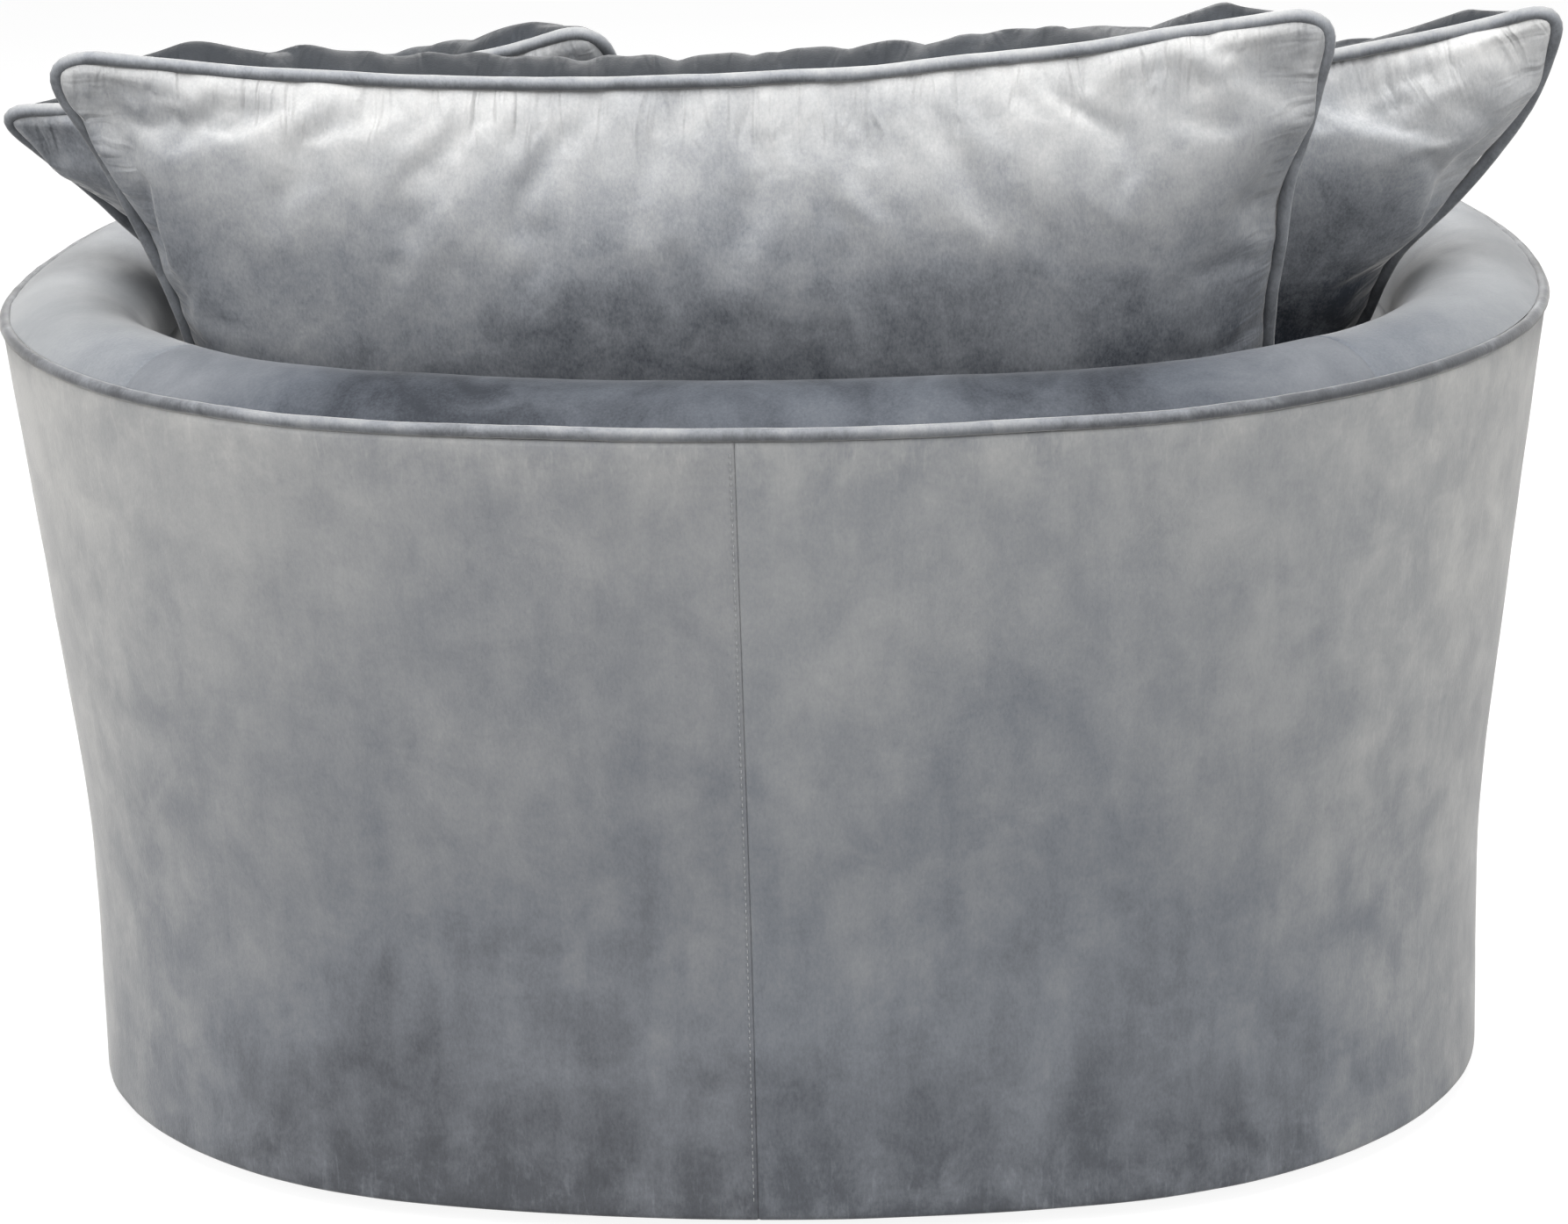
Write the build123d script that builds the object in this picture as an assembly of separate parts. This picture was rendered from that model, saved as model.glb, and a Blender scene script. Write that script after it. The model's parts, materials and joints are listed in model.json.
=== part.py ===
from build123d import *
import os
from math import asin, atan, atan2, cos, degrees, hypot, radians, sin, sqrt

# Swivel tub armchair: a wrap-around upholstered wall on a plywood frame, turning on a
# ball race over a low floor disc, with a loose seat cushion and three loose pillows.
# Millimetres. Front is -Y, up is +Z, the sitter's left is +X, the swivel axis is Z.

# Plan of the rim: tangent arcs, symmetric about the centre line
WIDTH = 1250
DEPTH = 1080
REAR_R = 1150
CORNER_R = 450
SIDE_R = 900
FRONT_CORNER_R = 250
FRONT_ANGLE = 27
ARM_ANGLE = 24

# Wall section, measured inward from the rim outline (inset) and up (z)
WALL = 125
RIM_Z = 650
RIM_INSET = 2
FLARE = 0.12
KNEE_Z = 300
FOOT_Z = 150
HEM_Z = 12
CROWN_Z = 677
CROWN_INSET = 60
OUTER_CROWN_R = 70
INNER_CROWN_R = WALL - CROWN_INSET
WELT_R = 5
BAND_ANGLE = 47

# Layers of the wall, from the outside inward
CLOTH = 2
GAP = 0.2
WADDING = 7.8
BOARD = 4
FRAME_INSET = 84
LINING = 3

# Levels of the frame
BASE_Z = 42
BASE_T = 18
RING_Z = 225
RING_T = 30
RING_INNER = 165
RAIL_Z = 606
RAIL_T = 22
DECK_Z = 243
DECK_INSET = 127
RIB_T = 20
RIB_FIT = 0.6
RIB_SHELF = 130
RIB_SHELF_T = 20
RIB_FOOT = 100
RIB_FOOT_Z = 120
WEBBING_T = 2
DUST_T = 1.2
DUST_EDGE = 2
DUST_ROOM = 8
ARM_BOARD_IN = 3
ARM_BOARD_T = 6
ARM_PAD_T = 18
ARM_PAD_R = 7

# Swivel and floor disc
GLIDE_H = 6
GLIDE_R = 24
GLIDE_PITCH_R = 330
GLIDE_COUNT = 6
DISC_R = 380
DISC_T = 18
DISC_EDGE_R = 4
DISC_ROOM_R = 20
PLATE_R = 165
PLATE_T = 3
RACE_R = 120
RACE_W = 32
RACE_T = 4
RACE_FIT = 0.1
BALL_R = 6
BALL_COUNT = 20
CAGE_W = 22
CAGE_T = 1.6
CAGE_FIT = 0.15
PIN_R = 10
PIN_FIT = 0.06
PIN_HEAD_R = 18
PIN_HEAD_T = 6
HUB_R = 22
WASHER_R = 24
WASHER_T = 3
WASHER_FIT = 0.3
PIN_NUT_R = 15
PIN_NUT_H = 11
NUT_ROOM_R = 34
BOLT_PITCH_R = 150
BOLT_R = 4
BOLT_COUNT = 4
BOLT_TURN = 45
BOLT_HEAD_R = 9
BOLT_HEAD_T = 4
BOLT_NUT_R = 6.5
BOLT_NUT_H = 6.4
PILOT_Z = 8
SCREW_HEAD_R = 8
SCREW_HEAD_T = 3
BORE_TOP = 100

# Seat cushion
SEAT_INSET = 126.5
SEAT_FRONT_Y = -545
SEAT_CORNER_R = 160
SEAT_ANGLE = 31
SEAT_EDGE_Z = 424
SEAT_SIDE = 15
SEAT_BELLY = 7
PIPE_R = 5
PIPE_FIT = 0.4

# Levels of the seat's crown: height above the edge, inset
SEAT_CROWN = ((0, SEAT_SIDE), (11, 60), (18, 125))

# Levels of a stuffed pillow face: share of bulge, share of half height drawn in
PILLOW_LEVELS = ((0.0, 0.0), (0.38, 0.06), (0.64, 0.15), (0.86, 0.3), (0.97, 0.48))
CORNER_GROWTH = 0.6
CORNER_LIMIT = 0.55
DRAW_FADE = 1.6

# Derived plan values
HALF = WIDTH / 2
REAR_Y = DEPTH / 2
FRONT_Y = -DEPTH / 2
REAR_HALF_ANGLE = degrees(asin((HALF - CORNER_R) / (REAR_R - CORNER_R)))
WIDEST_Y = REAR_Y - REAR_R + (REAR_R - CORNER_R) * cos(radians(REAR_HALF_ANGLE))
FLARE_ANGLE = atan(FLARE)
KNEE_INSET = RIM_INSET + FLARE * (RIM_Z - KNEE_Z)
KNEE_R = (KNEE_Z - FOOT_Z) / sin(FLARE_ANGLE)
FOOT_INSET = KNEE_INSET + KNEE_R * (1 - cos(FLARE_ANGLE))
BASE_TOP = BASE_Z + BASE_T
DISC_TOP = GLIDE_H + DISC_T
BALL_Z = (DISC_TOP + BASE_Z) / 2
PIN_TOP = BASE_TOP - 2


def plan_arcs(inset=0, front_r=FRONT_CORNER_R, angle=FRONT_ANGLE, front_y=FRONT_Y, front_inset=None):
    """Closed plan as (centre x, centre y, radius, start, end), counter-clockwise, by name."""
    front_inset = inset if front_inset is None else front_inset
    tilt = REAR_HALF_ANGLE
    reach = SIDE_R - (inset - front_inset) - front_r
    cx = HALF - SIDE_R + reach * cos(radians(angle))
    cy = WIDEST_Y - reach * sin(radians(angle))
    drop = cy - front_y
    broad = (cx * cx + drop * drop - front_r * front_r) / (2 * (drop - front_r))
    turn = degrees(atan2(front_y + broad - cy, cx))
    side, corner = HALF - SIDE_R, HALF - CORNER_R
    return {
        "left_side": (side, WIDEST_Y, SIDE_R - inset, -angle, 0),
        "left_corner": (corner, WIDEST_Y, CORNER_R - inset, 0, 90 - tilt),
        "rear": (0, REAR_Y - REAR_R, REAR_R - inset, 90 - tilt, 90 + tilt),
        "right_corner": (-corner, WIDEST_Y, CORNER_R - inset, 90 + tilt, 180),
        "right_side": (-side, WIDEST_Y, SIDE_R - inset, 180, 180 + angle),
        "front_right": (-cx, cy, front_r - front_inset, 180 + angle, 180 + turn),
        "front": (0, front_y + broad, broad - front_inset, 180 + turn, 360 - turn),
        "front_left": (cx, cy, front_r - front_inset, 360 - turn, 360 - angle),
    }


PLAN = plan_arcs()


def arc(name, start=None, end=None):
    """One named arc of the rim plan, cut to a start and end angle."""
    cx, cy, r, a, b = PLAN[name]
    return (cx, cy, r, a if start is None else start, b if end is None else end)


SIDE_L = arc("left_side", -ARM_ANGLE)
SIDE_R_ARC = arc("right_side", None, 180 + ARM_ANGLE)
BACK_HALF_L = arc("rear", None, 90)
BACK_HALF_R = arc("rear", 90)
WALL_ARCS = [SIDE_L, arc("left_corner"), arc("rear"), arc("right_corner"), SIDE_R_ARC]
FRONT_ARCS = [
    arc("right_side", 180 + ARM_ANGLE),
    arc("front_right"),
    arc("front"),
    arc("front_left"),
    arc("left_side", None, -ARM_ANGLE),
]


def placed(path, angle, shape):
    """A section standing across an arc of the plan at an angle."""
    cx, cy, r = path[:3]
    return Pos(cx, cy, 0) * Rot(0, 0, angle) * Pos(r, 0, 0) * shape


def swept(section, paths):
    """A section carried along arcs of the plan, as one solid."""
    runs = []
    for path in paths:
        cx, cy, r, a, b = path
        axis = Axis((cx, cy, 0), (0, 0, 1))
        runs.append(revolve(placed(path, a, section), axis=axis, revolution_arc=b - a))
    whole = runs[0]
    for run in runs[1:]:
        whole = whole + run
    return whole


def outline(paths):
    """The face inside a closed chain of arcs."""
    return make_face([CenterArc((p[0], p[1], 0), p[2], p[3], p[4] - p[3]) for p in paths])


def slab(paths, z, thickness):
    """A flat board of a closed plan, standing on z."""
    return Pos(0, 0, z) * extrude(outline(paths), thickness)


def section(*points):
    """A straight-sided section from (inset, z) points."""
    return Plane.XZ * make_face(Polyline(*[(-i, z) for i, z in points], close=True))


def outer_inset(z):
    """Inset of the outer face of the wall at a height."""
    if z >= KNEE_Z:
        return RIM_INSET + FLARE * (RIM_Z - z)
    if z <= FOOT_Z:
        return FOOT_INSET
    return FOOT_INSET - KNEE_R + sqrt(KNEE_R**2 - (z - FOOT_Z) ** 2)


def outer_edges(shift, low, high):
    """Edges of the outer face, moved inward, from one height to another."""
    def at(z):
        return (-outer_inset(z) - shift, z)

    edges = []
    if low < FOOT_Z:
        edges.append(Line(at(low), at(min(high, FOOT_Z))))
    if low < KNEE_Z and high > FOOT_Z:
        a, b = max(low, FOOT_Z), min(high, KNEE_Z)
        edges.append(ThreePointArc(at(a), at((a + b) / 2), at(b)))
    if high > KNEE_Z:
        edges.append(Line(at(max(low, KNEE_Z)), at(high)))
    return edges


def layer(near, far, low, high):
    """Section of one layer that follows the outer face."""
    edges = outer_edges(near, low, high) + outer_edges(far, low, high)
    for z in (low, high):
        x = -outer_inset(z)
        edges.append(Line((x - near, z), (x - far, z)))
    return Plane.XZ * make_face(edges)


def crown_z(inset, shift):
    """Height of the rail's crown at an inset, moved inward by shift."""
    r = OUTER_CROWN_R if inset <= CROWN_INSET else INNER_CROWN_R
    return CROWN_Z - r + sqrt((r - shift) ** 2 - (CROWN_INSET - inset) ** 2)


def crown_edges(shift, first):
    """The two arcs over the rail, from an outer inset to the inner face."""
    peak = (-CROWN_INSET, CROWN_Z - shift)
    mid = (first + CROWN_INSET) / 2
    outer = ThreePointArc((-first, crown_z(first, shift)), (-mid, crown_z(mid, shift)), peak)
    r = INNER_CROWN_R - shift
    low = CROWN_Z - INNER_CROWN_R
    half = sqrt(0.5) * r
    inner = ThreePointArc(peak, (-CROWN_INSET - half, low + half), (-CROWN_INSET - r, low))
    return [outer, inner]


SPRING_LINE = CROWN_Z - INNER_CROWN_R
BOARD_NEAR = CLOTH + GAP + WADDING + GAP
FRAME_NEAR = BOARD_NEAR + BOARD + GAP
WALL_TOP = RIM_Z - 10
COVER_TOP = RIM_Z - WELT_R + 0.6
BAND_FIRST = 2 * WELT_R + 0.6


def ring_of(count, radius, shape, start=0):
    """Copies of a shape evenly round the swivel axis."""
    return [Rot(0, 0, start + 360 * k / count) * Pos(radius, 0, 0) * shape for k in range(count)]


def drum(radius, low, high):
    return Pos(0, 0, low) * extrude(Circle(radius), high - low)


def bore(radius):
    """A drill from the floor up through the base, to cut a hole with."""
    return drum(radius, 0, BORE_TOP)


# Floor base: it stays still while the chair turns

def floor_glides():
    glide = drum(GLIDE_R, 0, GLIDE_H)
    return Compound(children=ring_of(GLIDE_COUNT, GLIDE_PITCH_R, glide))


def floor_disc():
    disc = drum(DISC_R, GLIDE_H, DISC_TOP) - bore(DISC_ROOM_R)
    disc = fillet(disc.edges().filter_by(GeomType.CIRCLE).group_by(SortBy.RADIUS)[-1], DISC_EDGE_R)
    for hole in ring_of(BOLT_COUNT, BOLT_PITCH_R, drum(BOLT_R - 0.3, PILOT_Z, BORE_TOP)):
        disc = disc - hole
    return disc


def race(face_z, up):
    """Raised ring with a ball groove on a plate face."""
    low, high = (face_z, face_z + RACE_T) if up else (face_z - RACE_T, face_z)
    ring = drum(RACE_R + RACE_W / 2, low, high) - drum(RACE_R - RACE_W / 2, low - 1, high + 1)
    return ring - Pos(0, 0, BALL_Z) * Torus(RACE_R, BALL_R + RACE_FIT)


def swivel_lower_plate():
    top = DISC_TOP + PLATE_T
    plate = drum(PLATE_R, DISC_TOP, top) - bore(PIN_R + GAP)
    for hole in ring_of(BOLT_COUNT, BOLT_PITCH_R, bore(BOLT_R)):
        plate = plate - hole
    return plate + race(top, True)


def lower_screws():
    top = DISC_TOP + PLATE_T
    screw = drum(BOLT_R - 0.5, PILOT_Z + 1, top) + drum(SCREW_HEAD_R, top, top + SCREW_HEAD_T)
    return Compound(children=ring_of(BOLT_COUNT, BOLT_PITCH_R, screw))


def king_pin():
    head = drum(PIN_HEAD_R, DISC_TOP - PIN_HEAD_T, DISC_TOP - GAP)
    return head + drum(PIN_R, DISC_TOP - PIN_HEAD_T, PIN_TOP)


def king_washer():
    return drum(WASHER_R, BASE_Z + WASHER_FIT, BASE_Z + WASHER_T) - bore(PIN_R + GAP)


def king_nut():
    low = BASE_Z + WASHER_T + GAP
    nut = Pos(0, 0, low) * extrude(RegularPolygon(PIN_NUT_R, 6, major_radius=False), PIN_NUT_H)
    return nut - bore(PIN_R + GAP)


def bearing_balls():
    return Compound(children=ring_of(BALL_COUNT, RACE_R, Pos(0, 0, BALL_Z) * Sphere(BALL_R)))


def ball_cage():
    cage = drum(RACE_R + CAGE_W / 2, BALL_Z - CAGE_T / 2, BALL_Z + CAGE_T / 2)
    cage = cage - bore(RACE_R - CAGE_W / 2)
    for hole in ring_of(BALL_COUNT, RACE_R, bore(BALL_R + CAGE_FIT)):
        cage = cage - hole
    return cage


# Swivelling frame

def swivel_upper_plate():
    low = BASE_Z - PLATE_T
    plate = drum(PLATE_R, low, BASE_Z) + drum(HUB_R, BALL_Z, BASE_Z)
    plate = plate - bore(PIN_R + PIN_FIT)
    for hole in ring_of(BOLT_COUNT, BOLT_PITCH_R, bore(BOLT_R + GAP), BOLT_TURN):
        plate = plate - hole
    return plate + race(low, False)


def upper_bolts():
    nut_top = BASE_Z - PLATE_T - GAP
    low = nut_top - BOLT_NUT_H
    nut = Pos(0, 0, low) * extrude(RegularPolygon(BOLT_NUT_R, 6, major_radius=False), BOLT_NUT_H)
    bolt = drum(BOLT_R, low, BASE_TOP + 1) + nut
    bolt = bolt + drum(BOLT_HEAD_R, BASE_TOP + GAP, BASE_TOP + BOLT_HEAD_T)
    return Compound(children=ring_of(BOLT_COUNT, BOLT_PITCH_R, bolt, BOLT_TURN))


def base_board():
    board = slab(plan_arcs(FOOT_INSET + FRAME_NEAR).values(), BASE_Z, BASE_T)
    board = board - bore(NUT_ROOM_R)
    for hole in ring_of(BOLT_COUNT, BOLT_PITCH_R, bore(BOLT_R + GAP), BOLT_TURN):
        board = board - hole
    return board


def dust_cover():
    plan = plan_arcs(FOOT_INSET + FRAME_NEAR + DUST_EDGE).values()
    return slab(plan, BASE_Z - DUST_T - GAP, DUST_T) - bore(PLATE_R + DUST_ROOM)


def rib_section(top):
    """A plywood former: tapered outer edge, ledge under the seat ring, foot on the base."""
    ledge = RING_Z - RING_T - GAP
    near = FRAME_NEAR + RIB_FIT
    edges = outer_edges(near, BASE_TOP, top)
    start = (-outer_inset(BASE_TOP) - near, BASE_TOP)
    end = (-outer_inset(top) - near, top)
    points = [end]
    if top > ledge:
        points += [(-FRAME_INSET, top), (-FRAME_INSET, ledge)]
    points += [(-RIB_SHELF, ledge), (-RIB_SHELF, ledge - RIB_SHELF_T)]
    points += [(-RIB_FOOT, RIB_FOOT_Z), (-RIB_FOOT, BASE_TOP), start]
    edges += [Line(p, q) for p, q in zip(points, points[1:])]
    return Plane.XZ * make_face(edges)


def ribs(sites, top):
    board = extrude(rib_section(top), RIB_T / 2, both=True)
    return Compound(children=[placed(PLAN[name], angle, board) for name, angle in sites])


def frame_ribs():
    left = [("left_side", -ARM_ANGLE + 0.9), ("left_side", -9)]
    left += [("left_corner", a) for a in (14, 42, 70)]
    right = [(n.replace("left", "right"), 180 - a) for n, a in left]
    return ribs(left + [("rear", 90)] + right, RAIL_Z - GAP)


def front_ribs():
    middle = (PLAN["front_left"][3] + PLAN["front_left"][4]) / 2
    sites = [("front_left", middle), ("front_right", 540 - middle)]
    sites += [("front", 270 + a) for a in (-9, 0, 9)]
    return ribs(sites, RING_Z - RING_T - GAP)


def seat_ring():
    outer = slab(plan_arcs(FRAME_INSET + GAP).values(), RING_Z - RING_T, RING_T)
    return outer - slab(plan_arcs(RING_INNER).values(), RING_Z - RING_T - 1, RING_T + 2)


def top_rail():
    near = outer_inset(RAIL_Z) + FRAME_NEAR
    low, high = RAIL_Z, RAIL_Z + RAIL_T
    return swept(section((near, low), (near, high), (FRAME_INSET, high), (FRAME_INSET, low)), WALL_ARCS)


def around(near, far, low):
    """A layer of the outer wall: full height on the back and arms, deck height in front."""
    wall = swept(layer(near, far, low, WALL_TOP), WALL_ARCS)
    return wall + swept(layer(near, far, low, DECK_Z - CLOTH - GAP), FRONT_ARCS)


def outer_board():
    return around(BOARD_NEAR, BOARD_NEAR + BOARD, HEM_Z + CLOTH + GAP)


def outer_wadding():
    return around(CLOTH + GAP, CLOTH + GAP + WADDING, HEM_Z + CLOTH + GAP)


def upright(near, far, low, high):
    """An upright layer that lines the inside of the wall."""
    return swept(section((near, low), (near, high), (far, high), (far, low)), WALL_ARCS)


def inner_board():
    near = FRAME_INSET + GAP
    return upright(near, near + LINING, RING_Z + GAP, RAIL_Z + RAIL_T)


def inner_foam():
    near = FRAME_INSET + GAP + LINING + GAP
    return upright(near, WALL - CLOTH - GAP, RING_Z + GAP, SPRING_LINE - GAP)


def inner_cover():
    return upright(WALL - CLOTH, WALL, RING_Z + 1, SPRING_LINE - GAP)


def rail_foam():
    """Crowned foam over the top rail, lipped outward to the welt."""
    shift = CLOTH + GAP
    first, last = BAND_FIRST + 2, WALL - shift
    step = FRAME_INSET + LINING + 2 * GAP
    lip, low, floor = WALL_TOP + 0.5, RAIL_Z + RAIL_T + GAP, SPRING_LINE + GAP
    near = outer_inset(RAIL_Z + RAIL_T) + FRAME_NEAR + 0.5
    points = [(first, crown_z(first, shift)), (first, lip), (near, lip), (near, low), (step, low)]
    points += [(step, floor), (last - 0.5, floor), (last, SPRING_LINE)]
    ends = [(-i, z) for i, z in points]
    edges = [Line(p, q) for p, q in zip(ends, ends[1:])] + crown_edges(shift, first)
    return swept(Plane.XZ * make_face(edges), WALL_ARCS)


def band_section():
    low = SPRING_LINE
    edges = crown_edges(0, BAND_FIRST) + crown_edges(CLOTH, BAND_FIRST)
    edges.append(Line((-WALL, low), (-WALL + CLOTH, low)))
    x = -BAND_FIRST
    edges.append(Line((x, crown_z(BAND_FIRST, 0)), (x, crown_z(BAND_FIRST, CLOTH))))
    return Plane.XZ * make_face(edges)


def band_back():
    paths = [arc("left_corner", BAND_ANGLE), arc("rear"), arc("right_corner", None, 180 - BAND_ANGLE)]
    return swept(band_section(), paths)


def band_left():
    return swept(band_section(), [SIDE_L, arc("left_corner", None, BAND_ANGLE)])


def hem_lip():
    """The cover folded under the lower edge of the wall."""
    near, far = FOOT_INSET, FOOT_INSET + BOARD_NEAR + BOARD
    return section((near, HEM_Z), (near, HEM_Z + CLOTH), (far, HEM_Z + CLOTH), (far, HEM_Z))


def outer_cover_left():
    paths = [SIDE_L, arc("left_corner"), BACK_HALF_L]
    return swept(layer(0, CLOTH, HEM_Z, COVER_TOP - 1), paths) + swept(hem_lip(), paths)


def front_cover():
    near = outer_inset(DECK_Z)
    low = DECK_Z - CLOTH
    lip = section((near, low), (near, DECK_Z), (DECK_INSET - 1, DECK_Z), (DECK_INSET - 1, low))
    face = layer(0, CLOTH, HEM_Z, DECK_Z)
    return swept(face, FRONT_ARCS) + swept(hem_lip(), FRONT_ARCS) + swept(lip, FRONT_ARCS)


def front_edge_roll():
    near = FOOT_INSET + FRAME_NEAR
    low, high = RING_Z + GAP, DECK_Z - CLOTH - GAP
    far = DECK_INSET - 1
    return swept(section((near, low), (near, high), (far, high), (far, low)), FRONT_ARCS)


def rail_welt():
    cord = Plane.XZ * Pos(-WELT_R, RIM_Z + 1) * Circle(WELT_R)
    return swept(cord, WALL_ARCS)


def arm_face(shrink, depth, start):
    """A panel across the front end of the left arm."""
    low, high = DECK_Z + 0.3, COVER_TOP - 1
    first = BAND_FIRST - 4
    edges = outer_edges(0, low, high) + crown_edges(0, first)
    edges.append(Line((-outer_inset(high), high), (-first, crown_z(first, 0))))
    edges.append(Line((-WALL, SPRING_LINE), (-WALL, low)))
    edges.append(Line((-WALL, low), (-outer_inset(low), low)))
    face = make_face(edges)
    if shrink:
        face = offset(face, -shrink)
    return Pos(0, -start, 0) * extrude(Plane.XZ * face, depth)


def arm_front_board_left():
    return placed(PLAN["left_side"], -ARM_ANGLE, arm_face(ARM_BOARD_IN, ARM_BOARD_T, GAP))


def arm_front_pad_left():
    pad = arm_face(0, ARM_PAD_T, ARM_BOARD_T + 2 * GAP)
    front = pad.faces().sort_by(Axis.Y)[0]
    return placed(PLAN["left_side"], -ARM_ANGLE, fillet(front.edges(), ARM_PAD_R))


# Seat deck

def straps(z, across):
    """Elastic webbing, cut to the deck plan."""
    width, pitch, count, rearward = 50, 104, 7, 20
    whole = slab(plan_arcs(DECK_INSET).values(), z, WEBBING_T)
    middle = z + WEBBING_T / 2
    strips = []
    for k in range(count):
        along = (k - (count - 1) / 2) * pitch
        if across:
            strip = Pos(0, along + rearward, middle) * Box(2 * WIDTH, width, WEBBING_T)
        else:
            strip = Pos(along, 0, middle) * Box(width, 2 * WIDTH, WEBBING_T)
        strips.append(whole & strip)
    return Compound(children=strips)


def webbing_long():
    return straps(RING_Z + GAP, False)


def webbing_cross():
    return straps(RING_Z + WEBBING_T + 2 * GAP, True)


def deck_pad():
    low = RING_Z + 2 * WEBBING_T + 3 * GAP
    return slab(plan_arcs(DECK_INSET).values(), low, DECK_Z - GAP - low)


# Loose seat cushion

def seat_plan(inset):
    total = SEAT_INSET + inset
    return plan_arcs(total, SEAT_CORNER_R + SEAT_INSET, SEAT_ANGLE, SEAT_FRONT_Y - SEAT_INSET).values()


def seat_loft(levels):
    return loft([Pos(0, 0, z) * outline(seat_plan(inset)) for z, inset in levels])


def seat_cushion():
    """Boxed sides with a slight belly between the welts, and a crowned top."""
    low, high = DECK_Z + 0.6, SEAT_EDGE_Z
    sides = seat_loft([(low, SEAT_SIDE), ((low + high) / 2, SEAT_BELLY), (high, SEAT_SIDE)])
    return sides + seat_loft([(high + rise, inset) for rise, inset in SEAT_CROWN])


def seat_welt(z):
    cord = Plane.XZ * Pos(0, z) * Circle(PIPE_R - 0.5)
    return swept(cord, seat_plan(2 * PIPE_R - 0.5))


def seat_welt_top():
    return seat_welt(SEAT_EDGE_Z - 3)


def seat_welt_bottom():
    return seat_welt(DECK_Z + 6)


# Loose pillows: two crowned faces meeting in a piped seam

def pillow_corners(top, bottom, height, slide):
    """Corners of a pillow's seam, counter-clockwise. The top edge is slid sideways and the
    bottom edge the other way."""
    upper = [(slide + top, height), (slide - top, height)]
    return upper + [(-slide - bottom, -height), (bottom - slide, -height)]


def drawn_in(points, d):
    """Corners of a convex outline after each of its sides has moved inward by d."""
    moved = []
    for k, (x, y) in enumerate(points):
        ax, ay = points[k - 1]
        bx, by = points[(k + 1) % len(points)]
        before, after = hypot(x - ax, y - ay), hypot(bx - x, by - y)
        nx, ny = (ay - y) / before, (x - ax) / before
        mx, my = (y - by) / after, (bx - x) / after
        grow = d / (1 + nx * mx + ny * my)
        moved.append((x + grow * (nx + mx), y + grow * (ny + my)))
    return moved


def seam_arcs(points, corner, draw):
    """Closed seam of a pillow: round corners joined by sides drawn in toward the middle."""
    ends = drawn_in(points, corner)
    sides = []
    for p, q in zip(ends, ends[1:] + ends[:1]):
        span = hypot(q[0] - p[0], q[1] - p[1])
        broad = ((span / 2) ** 2 + (draw - corner) ** 2 - corner**2) / (2 * draw)
        out = corner - draw + broad
        nx, ny = (q[1] - p[1]) / span, (p[0] - q[0]) / span
        sides.append(((p[0] + q[0]) / 2 + nx * out, (p[1] + q[1]) / 2 + ny * out, broad))
    paths = []
    for k, p in enumerate(ends):
        sx, sy, broad = sides[k]
        ex, ey, _ = sides[k - 1]
        qx, qy = ends[(k + 1) % 4]
        start, end = degrees(atan2(ey - p[1], ex - p[0])), degrees(atan2(sy - p[1], sx - p[0]))
        paths.append((p[0], p[1], corner, start, start + (end - start) % 360))
        start, end = degrees(atan2(qy - sy, qx - sx)), degrees(atan2(p[1] - sy, p[0] - sx))
        paths.append((sx, sy, broad, start, start + (end - start) % 360))
    return paths


def pillow_half(size, bulge):
    """One stuffed face of a pillow, standing on its seam plane."""
    top, bottom, height, corner, draw, slide = size
    points = pillow_corners(top, bottom, height, slide)
    faces = []
    for share, inward in PILLOW_LEVELS:
        d = PIPE_R + PIPE_FIT + inward * height
        grown = corner - PIPE_R + CORNER_GROWTH * inward * height
        r = min(grown, CORNER_LIMIT * (min(bottom, height) - d))
        seam = seam_arcs(drawn_in(points, d), r, draw * (1 - DRAW_FADE * inward))
        faces.append(Pos(0, 0, share * bulge) * outline(seam))
    return loft(faces)


def pillow(size, front, back):
    """A pillow lying in its own XY plane, front face up."""
    return pillow_half(size, front) + mirror(pillow_half(size, back), about=Plane.XY)


def piping(size):
    top, bottom, height, corner, draw, slide = size
    cord = Plane.XZ * Circle(PIPE_R)
    return swept(cord, seam_arcs(pillow_corners(top, bottom, height, slide), corner, draw))


def lean(x, y, z, yaw, recline, roll):
    """Where a pillow stands: its face turned by yaw, laid back, then rolled in its plane."""
    return Pos(x, y, z) * Rot(0, 0, yaw) * Rot(90 - recline, 0, 0) * Rot(0, 0, roll)


# Half width at top and bottom, half height, corner radius, draw-in of the sides, slide of the
# top edge. The throw pillows are alike; each is squashed by its own corner of the tub.
BACK_SIZE = (504, 414, 233.5, 38, 30, 14)
BACK_BULGES = (100, 88)
BACK_AT = (28, 225, 681.5, 0, 14.2, -1.5)
LEFT_SIZE = (243, 214, 239.5, 34, 16, 45)
RIGHT_SIZE = (268, 190, 231.5, 34, 16, -60)
SIDE_BULGES = (78, 70)
LEFT_AT = (270, -3, 666, -0.5, 34.5, -12.4)
RIGHT_AT = (-294, 26, 665, 1.3, 24.9, -2)

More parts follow.
